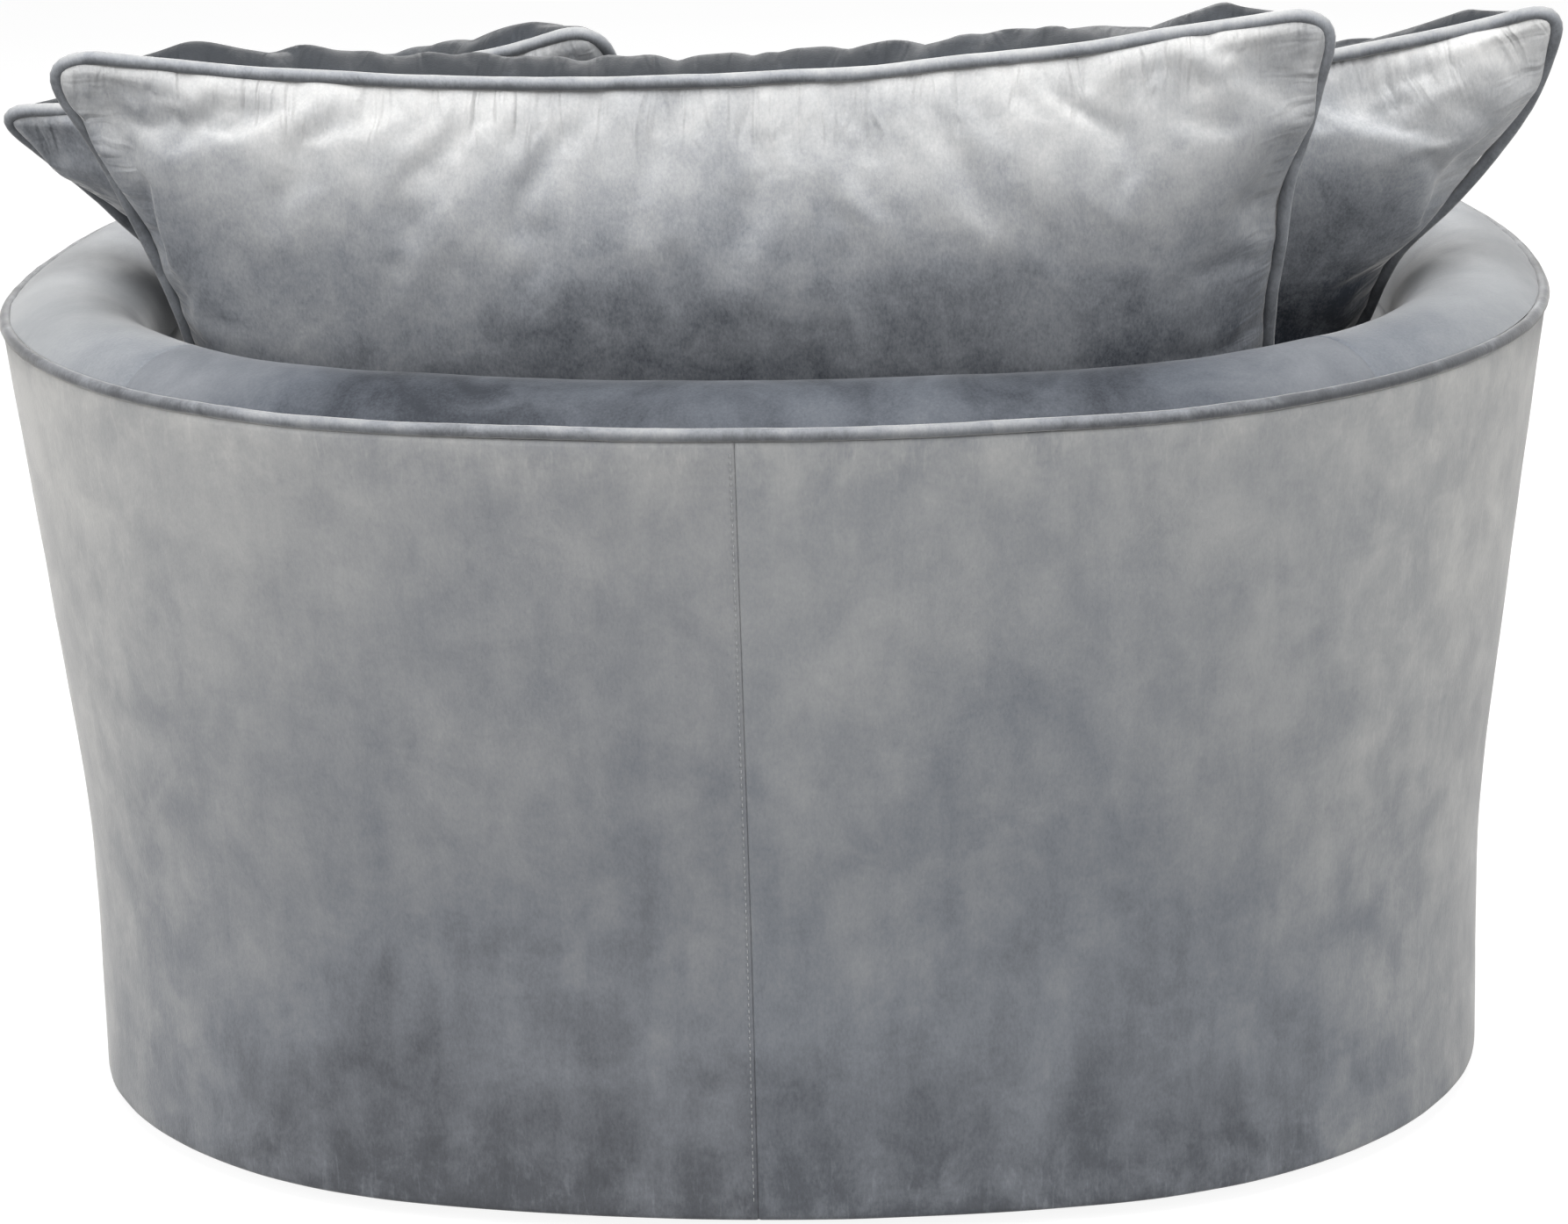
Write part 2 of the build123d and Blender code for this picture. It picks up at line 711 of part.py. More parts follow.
NODES = {
    "floor_glides": floor_glides,
    "floor_disc": floor_disc,
    "swivel_lower_plate": swivel_lower_plate,
    "lower_screws": lower_screws,
    "king_pin": king_pin,
    "king_washer": king_washer,
    "king_nut": king_nut,
    "bearing_balls": bearing_balls,
    "ball_cage": ball_cage,
    "swivel_upper_plate": swivel_upper_plate,
    "upper_bolts": upper_bolts,
    "base_board": base_board,
    "dust_cover": dust_cover,
    "frame_ribs": frame_ribs,
    "front_ribs": front_ribs,
    "seat_ring": seat_ring,
    "top_rail": top_rail,
    "outer_board": outer_board,
    "inner_board": inner_board,
    "webbing_long": webbing_long,
    "webbing_cross": webbing_cross,
    "deck_pad": deck_pad,
    "front_edge_roll": front_edge_roll,
    "inner_foam": inner_foam,
    "rail_foam": rail_foam,
    "outer_wadding": outer_wadding,
    "outer_cover_left": outer_cover_left,
    "outer_cover_right": lambda: mirror(outer_cover_left(), about=Plane.YZ),
    "front_cover": front_cover,
    "band_back": band_back,
    "band_left": band_left,
    "band_right": lambda: mirror(band_left(), about=Plane.YZ),
    "inner_cover": inner_cover,
    "rail_welt": rail_welt,
    "arm_front_board_left": arm_front_board_left,
    "arm_front_board_right": lambda: mirror(arm_front_board_left(), about=Plane.YZ),
    "arm_front_pad_left": arm_front_pad_left,
    "arm_front_pad_right": lambda: mirror(arm_front_pad_left(), about=Plane.YZ),
    "seat_cushion": seat_cushion,
    "seat_welt_top": seat_welt_top,
    "seat_welt_bottom": seat_welt_bottom,
    "back_cushion": lambda: lean(*BACK_AT) * pillow(BACK_SIZE, *BACK_BULGES),
    "back_cushion_piping": lambda: lean(*BACK_AT) * piping(BACK_SIZE),
    "left_pillow": lambda: lean(*LEFT_AT) * pillow(LEFT_SIZE, *SIDE_BULGES),
    "left_pillow_piping": lambda: lean(*LEFT_AT) * piping(LEFT_SIZE),
    "right_pillow": lambda: lean(*RIGHT_AT) * pillow(RIGHT_SIZE, *SIDE_BULGES),
    "right_pillow_piping": lambda: lean(*RIGHT_AT) * piping(RIGHT_SIZE),
}

os.makedirs("parts", exist_ok=True)
for node, make in NODES.items():
    export_step(make(), f"parts/{node}.step")
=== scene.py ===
import json
from math import asin, atan, atan2, ceil, copysign, cos, degrees, exp, hypot, pi, radians, sin, sqrt

import bpy
from mathutils import Matrix, Vector, noise


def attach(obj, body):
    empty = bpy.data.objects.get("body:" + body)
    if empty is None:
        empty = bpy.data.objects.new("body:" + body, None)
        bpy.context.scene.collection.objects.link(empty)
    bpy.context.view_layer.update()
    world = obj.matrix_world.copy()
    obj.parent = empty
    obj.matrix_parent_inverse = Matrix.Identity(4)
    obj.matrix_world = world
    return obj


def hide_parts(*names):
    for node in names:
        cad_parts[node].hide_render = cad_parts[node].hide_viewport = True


# Looks of the swivel tub armchair: velvet covers, piping, cloth-simulated pillows.
# Metres, in the frame of the CAD model: front is -Y, up is +Z, the sitter's left is +X.

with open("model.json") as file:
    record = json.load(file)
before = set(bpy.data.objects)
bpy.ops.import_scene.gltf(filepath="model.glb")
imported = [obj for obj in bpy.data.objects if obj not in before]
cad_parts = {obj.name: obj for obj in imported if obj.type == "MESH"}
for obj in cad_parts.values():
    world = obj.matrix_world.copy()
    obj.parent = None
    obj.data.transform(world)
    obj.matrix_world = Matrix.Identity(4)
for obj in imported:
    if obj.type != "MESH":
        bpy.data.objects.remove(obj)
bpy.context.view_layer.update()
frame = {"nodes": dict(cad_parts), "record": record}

# Plan of the rim, as in the CAD source
HALF, DEPTH = 0.625, 1.08
REAR_R, CORNER_R, SIDE_R, FRONT_R = 1.150, 0.450, 0.900, 0.250
FRONT_ANGLE, ARM_ANGLE = 27, 24
TILT = degrees(asin((HALF - CORNER_R) / (REAR_R - CORNER_R)))
WIDEST_Y = DEPTH / 2 - REAR_R + (REAR_R - CORNER_R) * cos(radians(TILT))

# Wall section, as in the CAD source
WALL, RIM_Z, RIM_INSET, FLARE = 0.125, 0.650, 0.002, 0.12
KNEE_Z, FOOT_Z, HEM_Z, DECK_Z = 0.300, 0.150, 0.012, 0.243
CROWN_Z, CROWN_INSET, OUTER_CROWN_R, INNER_CROWN_R = 0.677, 0.060, 0.070, 0.065
SPRING_LINE = CROWN_Z - INNER_CROWN_R
KNEE_R = (KNEE_Z - FOOT_Z) / sin(atan(FLARE))
FOOT_INSET = RIM_INSET + FLARE * (RIM_Z - KNEE_Z) + KNEE_R * (1 - cos(atan(FLARE)))
WELT_R, BAND_ANGLE, BAND_FIRST = 0.005, 47, 0.0106

# Seat cushion, as in the CAD source
SEAT_INSET, SEAT_FRONT_Y, SEAT_CORNER_R, SEAT_ANGLE = 0.1265, -0.545, 0.160, 31
SEAT_LOW = 0.2436
PIPE_R = 0.005

# Lengths that count as none
NEAR = 1e-9


# Plan and section

def plan_arcs(front_r=FRONT_R, angle=FRONT_ANGLE, front_y=-DEPTH / 2):
    """Closed plan as (centre x, centre y, radius, start, end) by name, counter-clockwise."""
    reach = SIDE_R - front_r
    cx = HALF - SIDE_R + reach * cos(radians(angle))
    cy = WIDEST_Y - reach * sin(radians(angle))
    drop = cy - front_y
    broad = (cx * cx + drop * drop - front_r * front_r) / (2 * (drop - front_r))
    turn = degrees(atan2(front_y + broad - cy, cx))
    side, corner = HALF - SIDE_R, HALF - CORNER_R
    return {
        "left_side": (side, WIDEST_Y, SIDE_R, -angle, 0),
        "left_corner": (corner, WIDEST_Y, CORNER_R, 0, 90 - TILT),
        "rear": (0, DEPTH / 2 - REAR_R, REAR_R, 90 - TILT, 90 + TILT),
        "right_corner": (-corner, WIDEST_Y, CORNER_R, 90 + TILT, 180),
        "right_side": (-side, WIDEST_Y, SIDE_R, 180, 180 + angle),
        "front_right": (-cx, cy, front_r, 180 + angle, 180 + turn),
        "front": (0, front_y + broad, broad, 180 + turn, 360 - turn),
        "front_left": (cx, cy, front_r, 360 - turn, 360 - angle),
    }


PLAN = plan_arcs()


def arc(name, start=None, end=None):
    """An arc of the plan, cut at other angles where given."""
    cx, cy, r, a, b = PLAN[name]
    return (cx, cy, r, a if start is None else start, b if end is None else end)


ARM_L, ARM_R = arc("left_side", -ARM_ANGLE), arc("right_side", None, 180 + ARM_ANGLE)
LEFT_HALF = [ARM_L, arc("left_corner"), arc("rear", None, 90)]
RIGHT_HALF = [arc("rear", 90), arc("right_corner"), ARM_R]
WALL_ARCS = [ARM_L, arc("left_corner"), arc("rear"), arc("right_corner"), ARM_R]
FRONT_ARCS = [
    arc("right_side", 180 + ARM_ANGLE),
    arc("front_right"),
    arc("front"),
    arc("front_left"),
    arc("left_side", None, -ARM_ANGLE),
]
BAND_L = [ARM_L, arc("left_corner", None, BAND_ANGLE)]
BAND_BACK = [arc("left_corner", BAND_ANGLE), arc("rear"), arc("right_corner", None, 180 - BAND_ANGLE)]
BAND_R = [arc("right_corner", 180 - BAND_ANGLE), ARM_R]


def length_of(arcs):
    return sum(radians(end - start) * r for _, _, r, start, end in arcs)


def stations(arcs, step, tight=()):
    """Places along arcs of the plan: (centre x, centre y, radius, angle, length so far).
    Extra places crowd toward the ends, at the distances in tight."""
    total = length_of(arcs)
    count = ceil(total / step)
    marks = [total * k / count for k in range(count + 1)]
    marks = [m for m in marks if not tight or tight[-1] < m < total - tight[-1]]
    marks = sorted(marks + list(tight) + [total - t for t in tight])
    places, done, k = [], 0.0, 0
    for m in marks:
        while k < len(arcs) - 1 and m > done + length_of(arcs[k : k + 1]) + NEAR:
            done += length_of(arcs[k : k + 1])
            k += 1
        cx, cy, r, a, _ = arcs[k]
        places.append((cx, cy, r, radians(a) + (m - done) / r, m))
    return places


def at(place, inset, z):
    """Point inward from a place on the plan, at a height."""
    cx, cy, r, angle = place[:4]
    return Vector((cx + (r - inset) * cos(angle), cy + (r - inset) * sin(angle), z))


def outer_inset(z):
    """Inset of the outer face of the wall at a height."""
    if z >= KNEE_Z:
        return RIM_INSET + FLARE * (RIM_Z - z)
    if z <= FOOT_Z:
        return FOOT_INSET
    return FOOT_INSET - KNEE_R + sqrt(KNEE_R**2 - (z - FOOT_Z) ** 2)


def crown_point(r, turn):
    """Place (inset, z) on the band's crown, on its arc of radius r, turned inward from the top."""
    return CROWN_INSET + r * sin(turn), CROWN_Z - r * (1 - cos(turn))


def plan_inset(p):
    """Distance of a point inward from the rim outline."""
    x, y = abs(p.x), p.y
    if y < WIDEST_Y:
        return SIDE_R - hypot(x - HALF + SIDE_R, y - WIDEST_Y)
    if degrees(atan2(y - DEPTH / 2 + REAR_R, x)) > 90 - TILT:
        return REAR_R - hypot(x, y - DEPTH / 2 + REAR_R)
    return CORNER_R - hypot(x - HALF + CORNER_R, y - WIDEST_Y)


def wave(p, size, seed=0.0):
    """Smooth noise between about -1 and 1, with features of the given size."""
    return noise.noise(Vector((p[0] / size + seed, p[1] / size - seed, p[2] / size + 2 * seed)))


# Mesh building

def piece(name, verts, faces, body):
    """A smooth-shaded mesh that rides on a body."""
    mesh = bpy.data.meshes.new(name)
    mesh.from_pydata([tuple(v) for v in verts], [], faces)
    mesh.validate()
    mesh.polygons.foreach_set("use_smooth", [True] * len(mesh.polygons))
    obj = bpy.data.objects.new(name, mesh)
    bpy.context.scene.collection.objects.link(obj)
    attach(obj, body)
    return obj


def grid_faces(rows, cols):
    """Quads of a grid stored row by row."""
    faces = []
    for i in range(rows - 1):
        for j in range(cols - 1):
            a, b = i * cols + j, (i + 1) * cols + j
            faces.append((a, b, b + 1, a + 1))
    return faces


def grid_ring_faces(rings, count):
    """Quads between closed rings of count vertices each, stored ring by ring."""
    faces = []
    for r in range(rings - 1):
        for k in range(count):
            a, b = r * count + k, r * count + (k + 1) % count
            faces.append((a, b, b + count, a + count))
    return faces


def skin(name, places, section, ripple):
    """A cover stretched along the plan: one row of the section at each place."""
    verts = []
    for place in places:
        for inset, z in section:
            verts.append(at(place, inset + ripple(place, inset, z), z))
    return piece(name, verts, grid_faces(len(places), len(section)), "chair")


def tube(name, points, radius, body, closed=False, sides=12, wobble=0.0):
    """A piping cord along points, with a slightly uneven girth."""
    count = len(points)
    verts, up = [], None
    for i, p in enumerate(points):
        ahead = points[(i + 1) % count] if closed or i < count - 1 else p
        behind = points[i - 1] if closed or i > 0 else p
        along = (ahead - behind).normalized()
        up = along.orthogonal() if up is None else up
        up = (up - along * up.dot(along)).normalized()
        out = along.cross(up)
        girth = radius * (1 + wobble * wave(p, 0.022, 3.1) + 0.5 * wobble * wave(p, 0.007, 5.7))
        for k in range(sides):
            a = 2 * pi * k / sides
            verts.append(p + (up * cos(a) + out * sin(a)) * girth)
    faces = []
    for i in range(count if closed else count - 1):
        for k in range(sides):
            a, b = i * sides, ((i + 1) % count) * sides
            faces.append((a + k, a + (k + 1) % sides, b + (k + 1) % sides, b + k))
    if not closed:
        faces.append(tuple(range(sides))[::-1])
        faces.append(tuple((count - 1) * sides + k for k in range(sides)))
    return piece(name, verts, faces, body)


def spread(low, high, count):
    """Even steps from low to high, both included."""
    return [low + (high - low) * k / (count - 1) for k in range(count)]


# Covers of the tub

# Mesh steps along the plan, and the crowded ones from a seam
COVER_STEP, BAND_STEP, LINING_STEP, PIPING_STEP = 0.011, 0.010, 0.012, 0.006
SEAM_EDGE = (0.0, 0.0006, 0.0014, 0.0026, 0.005)

# Sections as (inset, z): the edge under the welt, the rows of the wall, and the hem
UNDER_WELT = [(0.010, 0.6475), (0.006, 0.6462), (0.0035, 0.6446)]
WALL_TOP_Z, WALL_LOW_Z, WALL_ROWS = 0.641, 0.030, 62
HEM_ROLL = ((0.0, 0.022), (0.0001, 0.0165), (0.0006, 0.0138), (0.0020, 0.0124))
HEM_ROLL += ((0.005, HEM_Z), (0.016, HEM_Z))
HEM = [(FOOT_INSET + inset, z) for inset, z in HEM_ROLL]

# The front cover's shelf and its edge, as (inset, drop below the deck)
FRONT_SHELF = ((0.126, 0.001), (0.100, 0.0), (0.075, 0.0), (0.060, 0.0004))
FRONT_LIP = ((0.0030, 0.0005), (0.0014, 0.0009), (0.0006, 0.0017), (0.0001, 0.0034))
FRONT_TOP_Z, FRONT_ROWS = 0.232, 22
SHELF_Z = 0.24


def lip(distance, depth=0.0016, reach=0.0026):
    """How far an edge rolls under toward its seam."""
    return depth * max(0.0, 1 - distance / reach) ** 2


def outer_section():
    return UNDER_WELT + [(outer_inset(z), z) for z in spread(WALL_TOP_Z, WALL_LOW_Z, WALL_ROWS)] + HEM


def outer_ripple(seam_at):
    """Slack in the outer cover: slow swells, gathers just under the welt and along the hem,
    and the roll of its edge at the centre-back seam."""
    def ripple(place, inset, z):
        p = at(place, inset, z)
        swell = 0.0011 * wave((p.x, p.y, p.z * 0.45), 0.16, 1.3) + 0.0004 * wave(p, 0.05, 4.2)
        gather = 0.0005 * wave((place[4], 0, 0), 0.012, 2.0) * exp(-(0.645 - z) / 0.018)
        hem = 0.0006 * wave((place[4], 0, 0), 0.05, 8.0) * exp(-(z - HEM_Z) / 0.05)
        away = abs(place[4] - seam_at)
        return swell * min(1.0, away / 0.02) + gather + hem + lip(away)

    return ripple


def outer_covers():
    section = outer_section()
    seam = length_of(LEFT_HALF)
    left = skin("cover_left", stations(LEFT_HALF, COVER_STEP, SEAM_EDGE), section, outer_ripple(seam))
    right = skin("cover_right", stations(RIGHT_HALF, COVER_STEP, SEAM_EDGE), section, outer_ripple(0))
    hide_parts("outer_cover_left")
    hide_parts("outer_cover_right")
    return [left, right]


def front_panel():
    """Low cover across the front, from its shelf under the seat cushion down to the hem."""
    edge = outer_inset(DECK_Z)
    section = [(inset, DECK_Z - drop) for inset, drop in FRONT_SHELF]
    section += [(edge + inset, DECK_Z - drop) for inset, drop in FRONT_LIP]
    section += [(outer_inset(z), z) for z in spread(FRONT_TOP_Z, WALL_LOW_Z, FRONT_ROWS)] + HEM

    def ripple(place, inset, z):
        p = at(place, inset, z)
        return 0.0009 * wave((p.x, p.y, p.z * 0.5), 0.14, 6.1) if z < SHELF_Z else 0.0

    panel = skin("cover_front", stations(FRONT_ARCS, COVER_STEP, SEAM_EDGE), section, ripple)
    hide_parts("front_cover")
    return panel


# How far the band tucks under the welt, and the limits of its puffs inward and outward
BAND_TUCK, PUFF_IN, PUFF_OUT = 0.002, 0.0017, 0.0022


def band(name, arcs, node):
    """One piece of the padded band over the rail, rolled under at its cross seams."""
    places = stations(arcs, BAND_STEP, SEAM_EDGE)
    length = places[-1][4]
    first = asin((CROWN_INSET - BAND_FIRST + BAND_TUCK) / OUTER_CROWN_R)
    section = [(*crown_point(OUTER_CROWN_R, -a), -a) for a in spread(first, 0, 16)[:-1]]
    section += [(*crown_point(INNER_CROWN_R, a), a) for a in spread(0, pi / 2, 18)]
    verts = []
    for place in places:
        away = min(place[4], length - place[4])
        for inset, z, turn in section:
            p = at(place, inset, z)
            puff = 0.0016 * wave(p, 0.11, 2.7) + 0.0006 * wave(p, 0.035, 7.7)
            near_welt = exp(-max(0.0, inset - BAND_FIRST) / 0.012)
            puff += 0.0007 * wave((place[4], inset * 0.3, 0), 0.016, 1.1) * near_welt
            puff = max(-PUFF_IN, min(puff, PUFF_OUT) - lip(away, PUFF_OUT, 0.004))
            verts.append(at(place, inset + sin(turn) * puff, z + cos(turn) * puff))
    cover = piece(name, verts, grid_faces(len(places), len(section)), "chair")
    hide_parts(node)
    return cover


LINING_LOW_Z, LINING_ROWS = 0.228, 40


def inner_lining():
    """Cover of the wall's inner face, from the band down past the deck."""
    section = [(WALL, z) for z in spread(SPRING_LINE, LINING_LOW_Z, LINING_ROWS)]

    def ripple(place, inset, z):
        p = at(place, inset, z)
        swell = 0.0012 * wave((p.x, p.y, p.z * 0.6), 0.12, 9.4) - 0.0005
        return swell - lip(SPRING_LINE - z, 0.002, 0.004)

    lining = skin("lining", stations(WALL_ARCS, LINING_STEP, SEAM_EDGE), section, ripple)
    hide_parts("inner_cover")
    return lining


def rim_piping():
    """The cord along the rim's outer edge, not quite level."""
    points = []
    for place in stations(WALL_ARCS, PIPING_STEP):
        p = at(place, WELT_R, RIM_Z + 0.001)
        points.append(p + Vector((0, 0, 0.0011 * wave(p, 0.12, 3.3) + 0.0004 * wave(p, 0.03, 1.9))))
    cord = tube("rim_piping", points, WELT_R * 1.02, "chair", wobble=0.05)
    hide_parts("rail_welt")
    return cord


# Arm fronts: heights of the outline, limits of its middle line, its piping, and the pad's rings
# as (share of the way to the middle line, distance ahead)
ARM_FOOT_Z, ARM_SIDE_Z, ARM_LINING_Z, ARM_CROWN_INSET = DECK_Z + 0.0006, 0.642, 0.600, 0.006
ARM_MID_LOW, ARM_MID_HIGH = DECK_Z + 0.045, CROWN_Z - 0.062
ARM_PIPE_R, ARM_PIPE_AHEAD = 0.0042, 0.0055
ARM_RINGS = (
    (0.0, 0.0),
    (0.0, 0.009),
    (0.03, 0.0155),
    (0.09, 0.0195),
    (0.2, 0.0222),
    (0.4, 0.0236),
    (0.7, 0.0243),
)


def arm_outline():
    """Outline of the arm's front end, as (inset, z): its piped edge, from the outer foot over
    the crown to the inner foot, and its bottom, back to the start."""
    edge = [(outer_inset(z), z) for z in spread(ARM_FOOT_Z, ARM_SIDE_Z, 40)]
    first = asin((CROWN_INSET - ARM_CROWN_INSET) / OUTER_CROWN_R)
    edge += [crown_point(OUTER_CROWN_R, -a) for a in spread(first, 0, 14)]
    edge += [crown_point(INNER_CROWN_R, a) for a in spread(0, pi / 2, 16)[1:]]
    edge += [(WALL, z) for z in spread(ARM_LINING_Z, ARM_FOOT_Z, 36)]
    bottom = [(inset, ARM_FOOT_Z) for inset in spread(WALL, outer_inset(DECK_Z), 12)[1:-1]]
    return edge, bottom


def arm_front(name, side, node):
    """Padded panel across the front end of an arm, with its own piping."""
    edge, bottom = arm_outline()
    outline = edge + bottom
    angle = radians(-ARM_ANGLE if side > 0 else 180 + ARM_ANGLE)
    path = ARM_L if side > 0 else ARM_R
    place = (path[0], path[1], path[2], angle, 0.0)
    ahead = Vector((sin(angle), -cos(angle), 0)) * side
    verts = []
    for toward, depth in ARM_RINGS:
        for inset, z in outline:
            mid_z = min(max(z, ARM_MID_LOW), ARM_MID_HIGH)
            mid = (outer_inset(mid_z) + WALL) / 2
            i, h = inset + (mid - inset) * toward, z + (mid_z - z) * toward
            p = at(place, i, h)
            verts.append(p + ahead * (depth + 0.0007 * toward * wave(p, 0.06, 4.4)))
    count = len(outline)
    faces = grid_ring_faces(len(ARM_RINGS), count)
    last = tuple((len(ARM_RINGS) - 1) * count + k for k in range(count))
    if side > 0:
        faces = [face[:1] + face[:0:-1] for face in faces]
        last = last[::-1]
    faces.append(last)
    pad = piece(name, verts, faces, "chair")
    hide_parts(node)
    points = [at(place, inset, z) + ahead * ARM_PIPE_AHEAD for inset, z in edge]
    cord = tube(name + "_piping", points, ARM_PIPE_R, "chair", wobble=0.05)
    return [pad, cord]


# Deck pad: inset and step of its outline, its middle, how deep it dishes, its underside and top,
# and its rings as shares of the way to the middle
DECK_INSET, DECK_STEP, DECK_MIDDLE_Y = 0.127, 0.02, -0.03
DECK_DISH, DECK_LOW_Z, DECK_TOP_Z = 0.0045, 0.2305, DECK_Z - 0.0009
DECK_RINGS = (0.0, 0.0, 0.02, 0.06, 0.15, 0.3, 0.5, 0.7, 0.9)


def deck_lining():
    """Pad on the webbing under the seat cushion, dished a little where people sit."""
    outline = [at(p, DECK_INSET, 0) for p in stations(list(PLAN.values()), DECK_STEP)[:-1]]
    middle = Vector((0, DECK_MIDDLE_Y, 0))
    verts = []
    for r, share in enumerate(DECK_RINGS):
        for p in outline:
            q = p.lerp(middle, share)
            dish = DECK_DISH * sin(min(1.0, share / 0.7) * pi / 2) ** 2
            z = DECK_TOP_Z - dish + 0.0005 * wave(q, 0.05, 2)
            verts.append(Vector((q.x, q.y, DECK_LOW_Z if r == 0 else z)))
    count = len(outline)
    faces = grid_ring_faces(len(DECK_RINGS), count)
    faces.append(tuple((len(DECK_RINGS) - 1) * count + k for k in range(count)))
    pad = piece("deck_lining", verts, faces, "chair")
    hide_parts("deck_pad")
    return pad


STITCH_PITCH, STITCH_HALF, STITCH_R = 0.0055, 0.0016, 0.00042
STITCH_LOW, STITCH_HIGH, STITCH_X, STITCH_PROUD = 0.030, 0.640, 0.0032, 0.0002
STITCH_RINGS = ((-STITCH_HALF, 0.3), (-STITCH_HALF * 0.6, 1.0), (STITCH_HALF * 0.6, 1.0), (STITCH_HALF, 0.3))
STITCH_SIDES = 6


def back_seam_stitches():
    """Lock stitches that show beside the centre-back seam."""
    verts, faces = [], []
    z = STITCH_LOW
    while z < STITCH_HIGH:
        y = DEPTH / 2 - (outer_inset(z) - STITCH_PROUD)
        x = STITCH_X + 0.0002 * wave((0, 0, z), 0.01, 3)
        base = len(verts)
        for rise, girth in STITCH_RINGS:
            for k in range(STITCH_SIDES):
                a, r = 2 * pi * k / STITCH_SIDES, STITCH_R * girth
                verts.append(Vector((x + r * cos(a), y + r * sin(a), z + rise)))
        last = len(verts) - STITCH_SIDES
        for face in grid_ring_faces(len(STITCH_RINGS), STITCH_SIDES):
            faces.append(tuple(base + k for k in face))
        faces.append(tuple(base + k for k in range(STITCH_SIDES))[::-1])
        faces.append(tuple(last + k for k in range(STITCH_SIDES)))
        z += STITCH_PITCH
    return piece("seam_stitches", verts, faces, "chair")


# Seat cushion: outline step, middle, inset of the flat part of both faces, height and crown of the upper one
SEAT_STEP, SEAT_MIDDLE_Y, SEAT_FLAT, SEAT_FLAT_Z, SEAT_CROWN = 0.013, -0.065, 0.125, 0.4428, 0.0030

# Rings of the boxed sides as (inset, z): lower edge, belly, upper edge
SEAT_UNDER = [(0.060, 0.2442), (0.024, 0.2452), (0.0148, 0.2475), (0.0122, 0.2535)]
SEAT_BELLY = [(0.0118 - 0.0058 * sin(pi * k / 9) ** 0.8, 0.257 + 0.157 * k / 9) for k in range(1, 9)]
SEAT_OVER = [(0.0122, 0.4165), (0.0148, 0.4225), (0.024, 0.4268), (0.045, 0.4322), (0.080, 0.4385)]
SEAT_SIDE_LOW, SEAT_SIDE_HIGH, SEAT_FACE_Z = 0.26, 0.415, 0.43

# Cords as (piece, height, CAD node), their inset and radius
SEAT_CORDS = (("seat_piping_top", 0.421, "seat_welt_top"), ("seat_piping_low", 0.249, "seat_welt_bottom"))
SEAT_CORD_INSET, SEAT_CORD_R = 0.0095, 0.0046


def seat_outline(inset):
    plan = plan_arcs(SEAT_CORNER_R + SEAT_INSET, SEAT_ANGLE, SEAT_FRONT_Y - SEAT_INSET)
    places = stations(list(plan.values()), SEAT_STEP)[:-1]
    return [at(p, SEAT_INSET + inset, 0) for p in places]


def seat_cushion():
    """Boxed cushion: crowned faces between two piped edges, bellied sides."""
    inner = seat_outline(SEAT_FLAT)
    middle = Vector((0, SEAT_MIDDLE_Y, 0))
    rings = []
    for share in (0.92, 0.75, 0.5, 0.25, 0.0):
        rings.append([(q.lerp(middle, share), SEAT_LOW + 0.0004 + 0.002 * share) for q in inner])
    for inset, z in SEAT_UNDER + SEAT_BELLY + SEAT_OVER + [(SEAT_FLAT, SEAT_FLAT_Z)]:
        rings.append([(q, z) for q in seat_outline(inset)])
    for share in (0.15, 0.3, 0.45, 0.6, 0.75, 0.9):
        z = SEAT_FLAT_Z + SEAT_CROWN * sin(share * pi / 2)
        rings.append([(q.lerp(middle, share), z) for q in inner])
    verts = []
    for ring in rings:
        for q, z in ring:
            if SEAT_SIDE_LOW < z < SEAT_SIDE_HIGH:
                gather = 0.0012 * wave((q.x * 2.2, q.y * 2.2, z * 0.6), 0.03, 5.2)
                shift = (q - middle).normalized() * gather
            else:
                crease = 0.0009 * wave((q.x, q.y, z), 0.028, 3.8) + 0.0016 * wave((q.x, q.y, z), 0.11, 1.8)
                shift = Vector((0, 0, crease if z > SEAT_FACE_Z else 0.25 * crease))
            verts.append(Vector((q.x, q.y, z)) + shift)
    count = len(inner)
    faces = grid_ring_faces(len(rings), count)
    faces.append(tuple(range(count))[::-1])
    faces.append(tuple((len(rings) - 1) * count + k for k in range(count)))
    pad = piece("seat_pad", verts, faces, "seat")
    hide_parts("seat_cushion")
    cords = []
    for name, z, node in SEAT_CORDS:
        path = seat_outline(SEAT_CORD_INSET)
        points = [Vector((q.x, q.y, z + 0.0008 * wave(q, 0.07, 2.2))) for q in path]
        cord = tube(name, points, SEAT_CORD_R, "seat", closed=True, wobble=0.05)
        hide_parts(node)
        cords.append(cord)
    return [pad] + cords


# Pillows: flat two-faced envelopes blown up by cloth simulation, then leaned in place

def lean(x, y, z, yaw, recline, roll):
    """Placement of a pillow that stands, turned, leaned back and rolled by angles in degrees."""
    turn = Matrix.Rotation(radians(yaw), 4, "Z") @ Matrix.Rotation(radians(90 - recline), 4, "X")
    return Matrix.Translation((x, y, z)) @ turn @ Matrix.Rotation(radians(roll), 4, "Z")


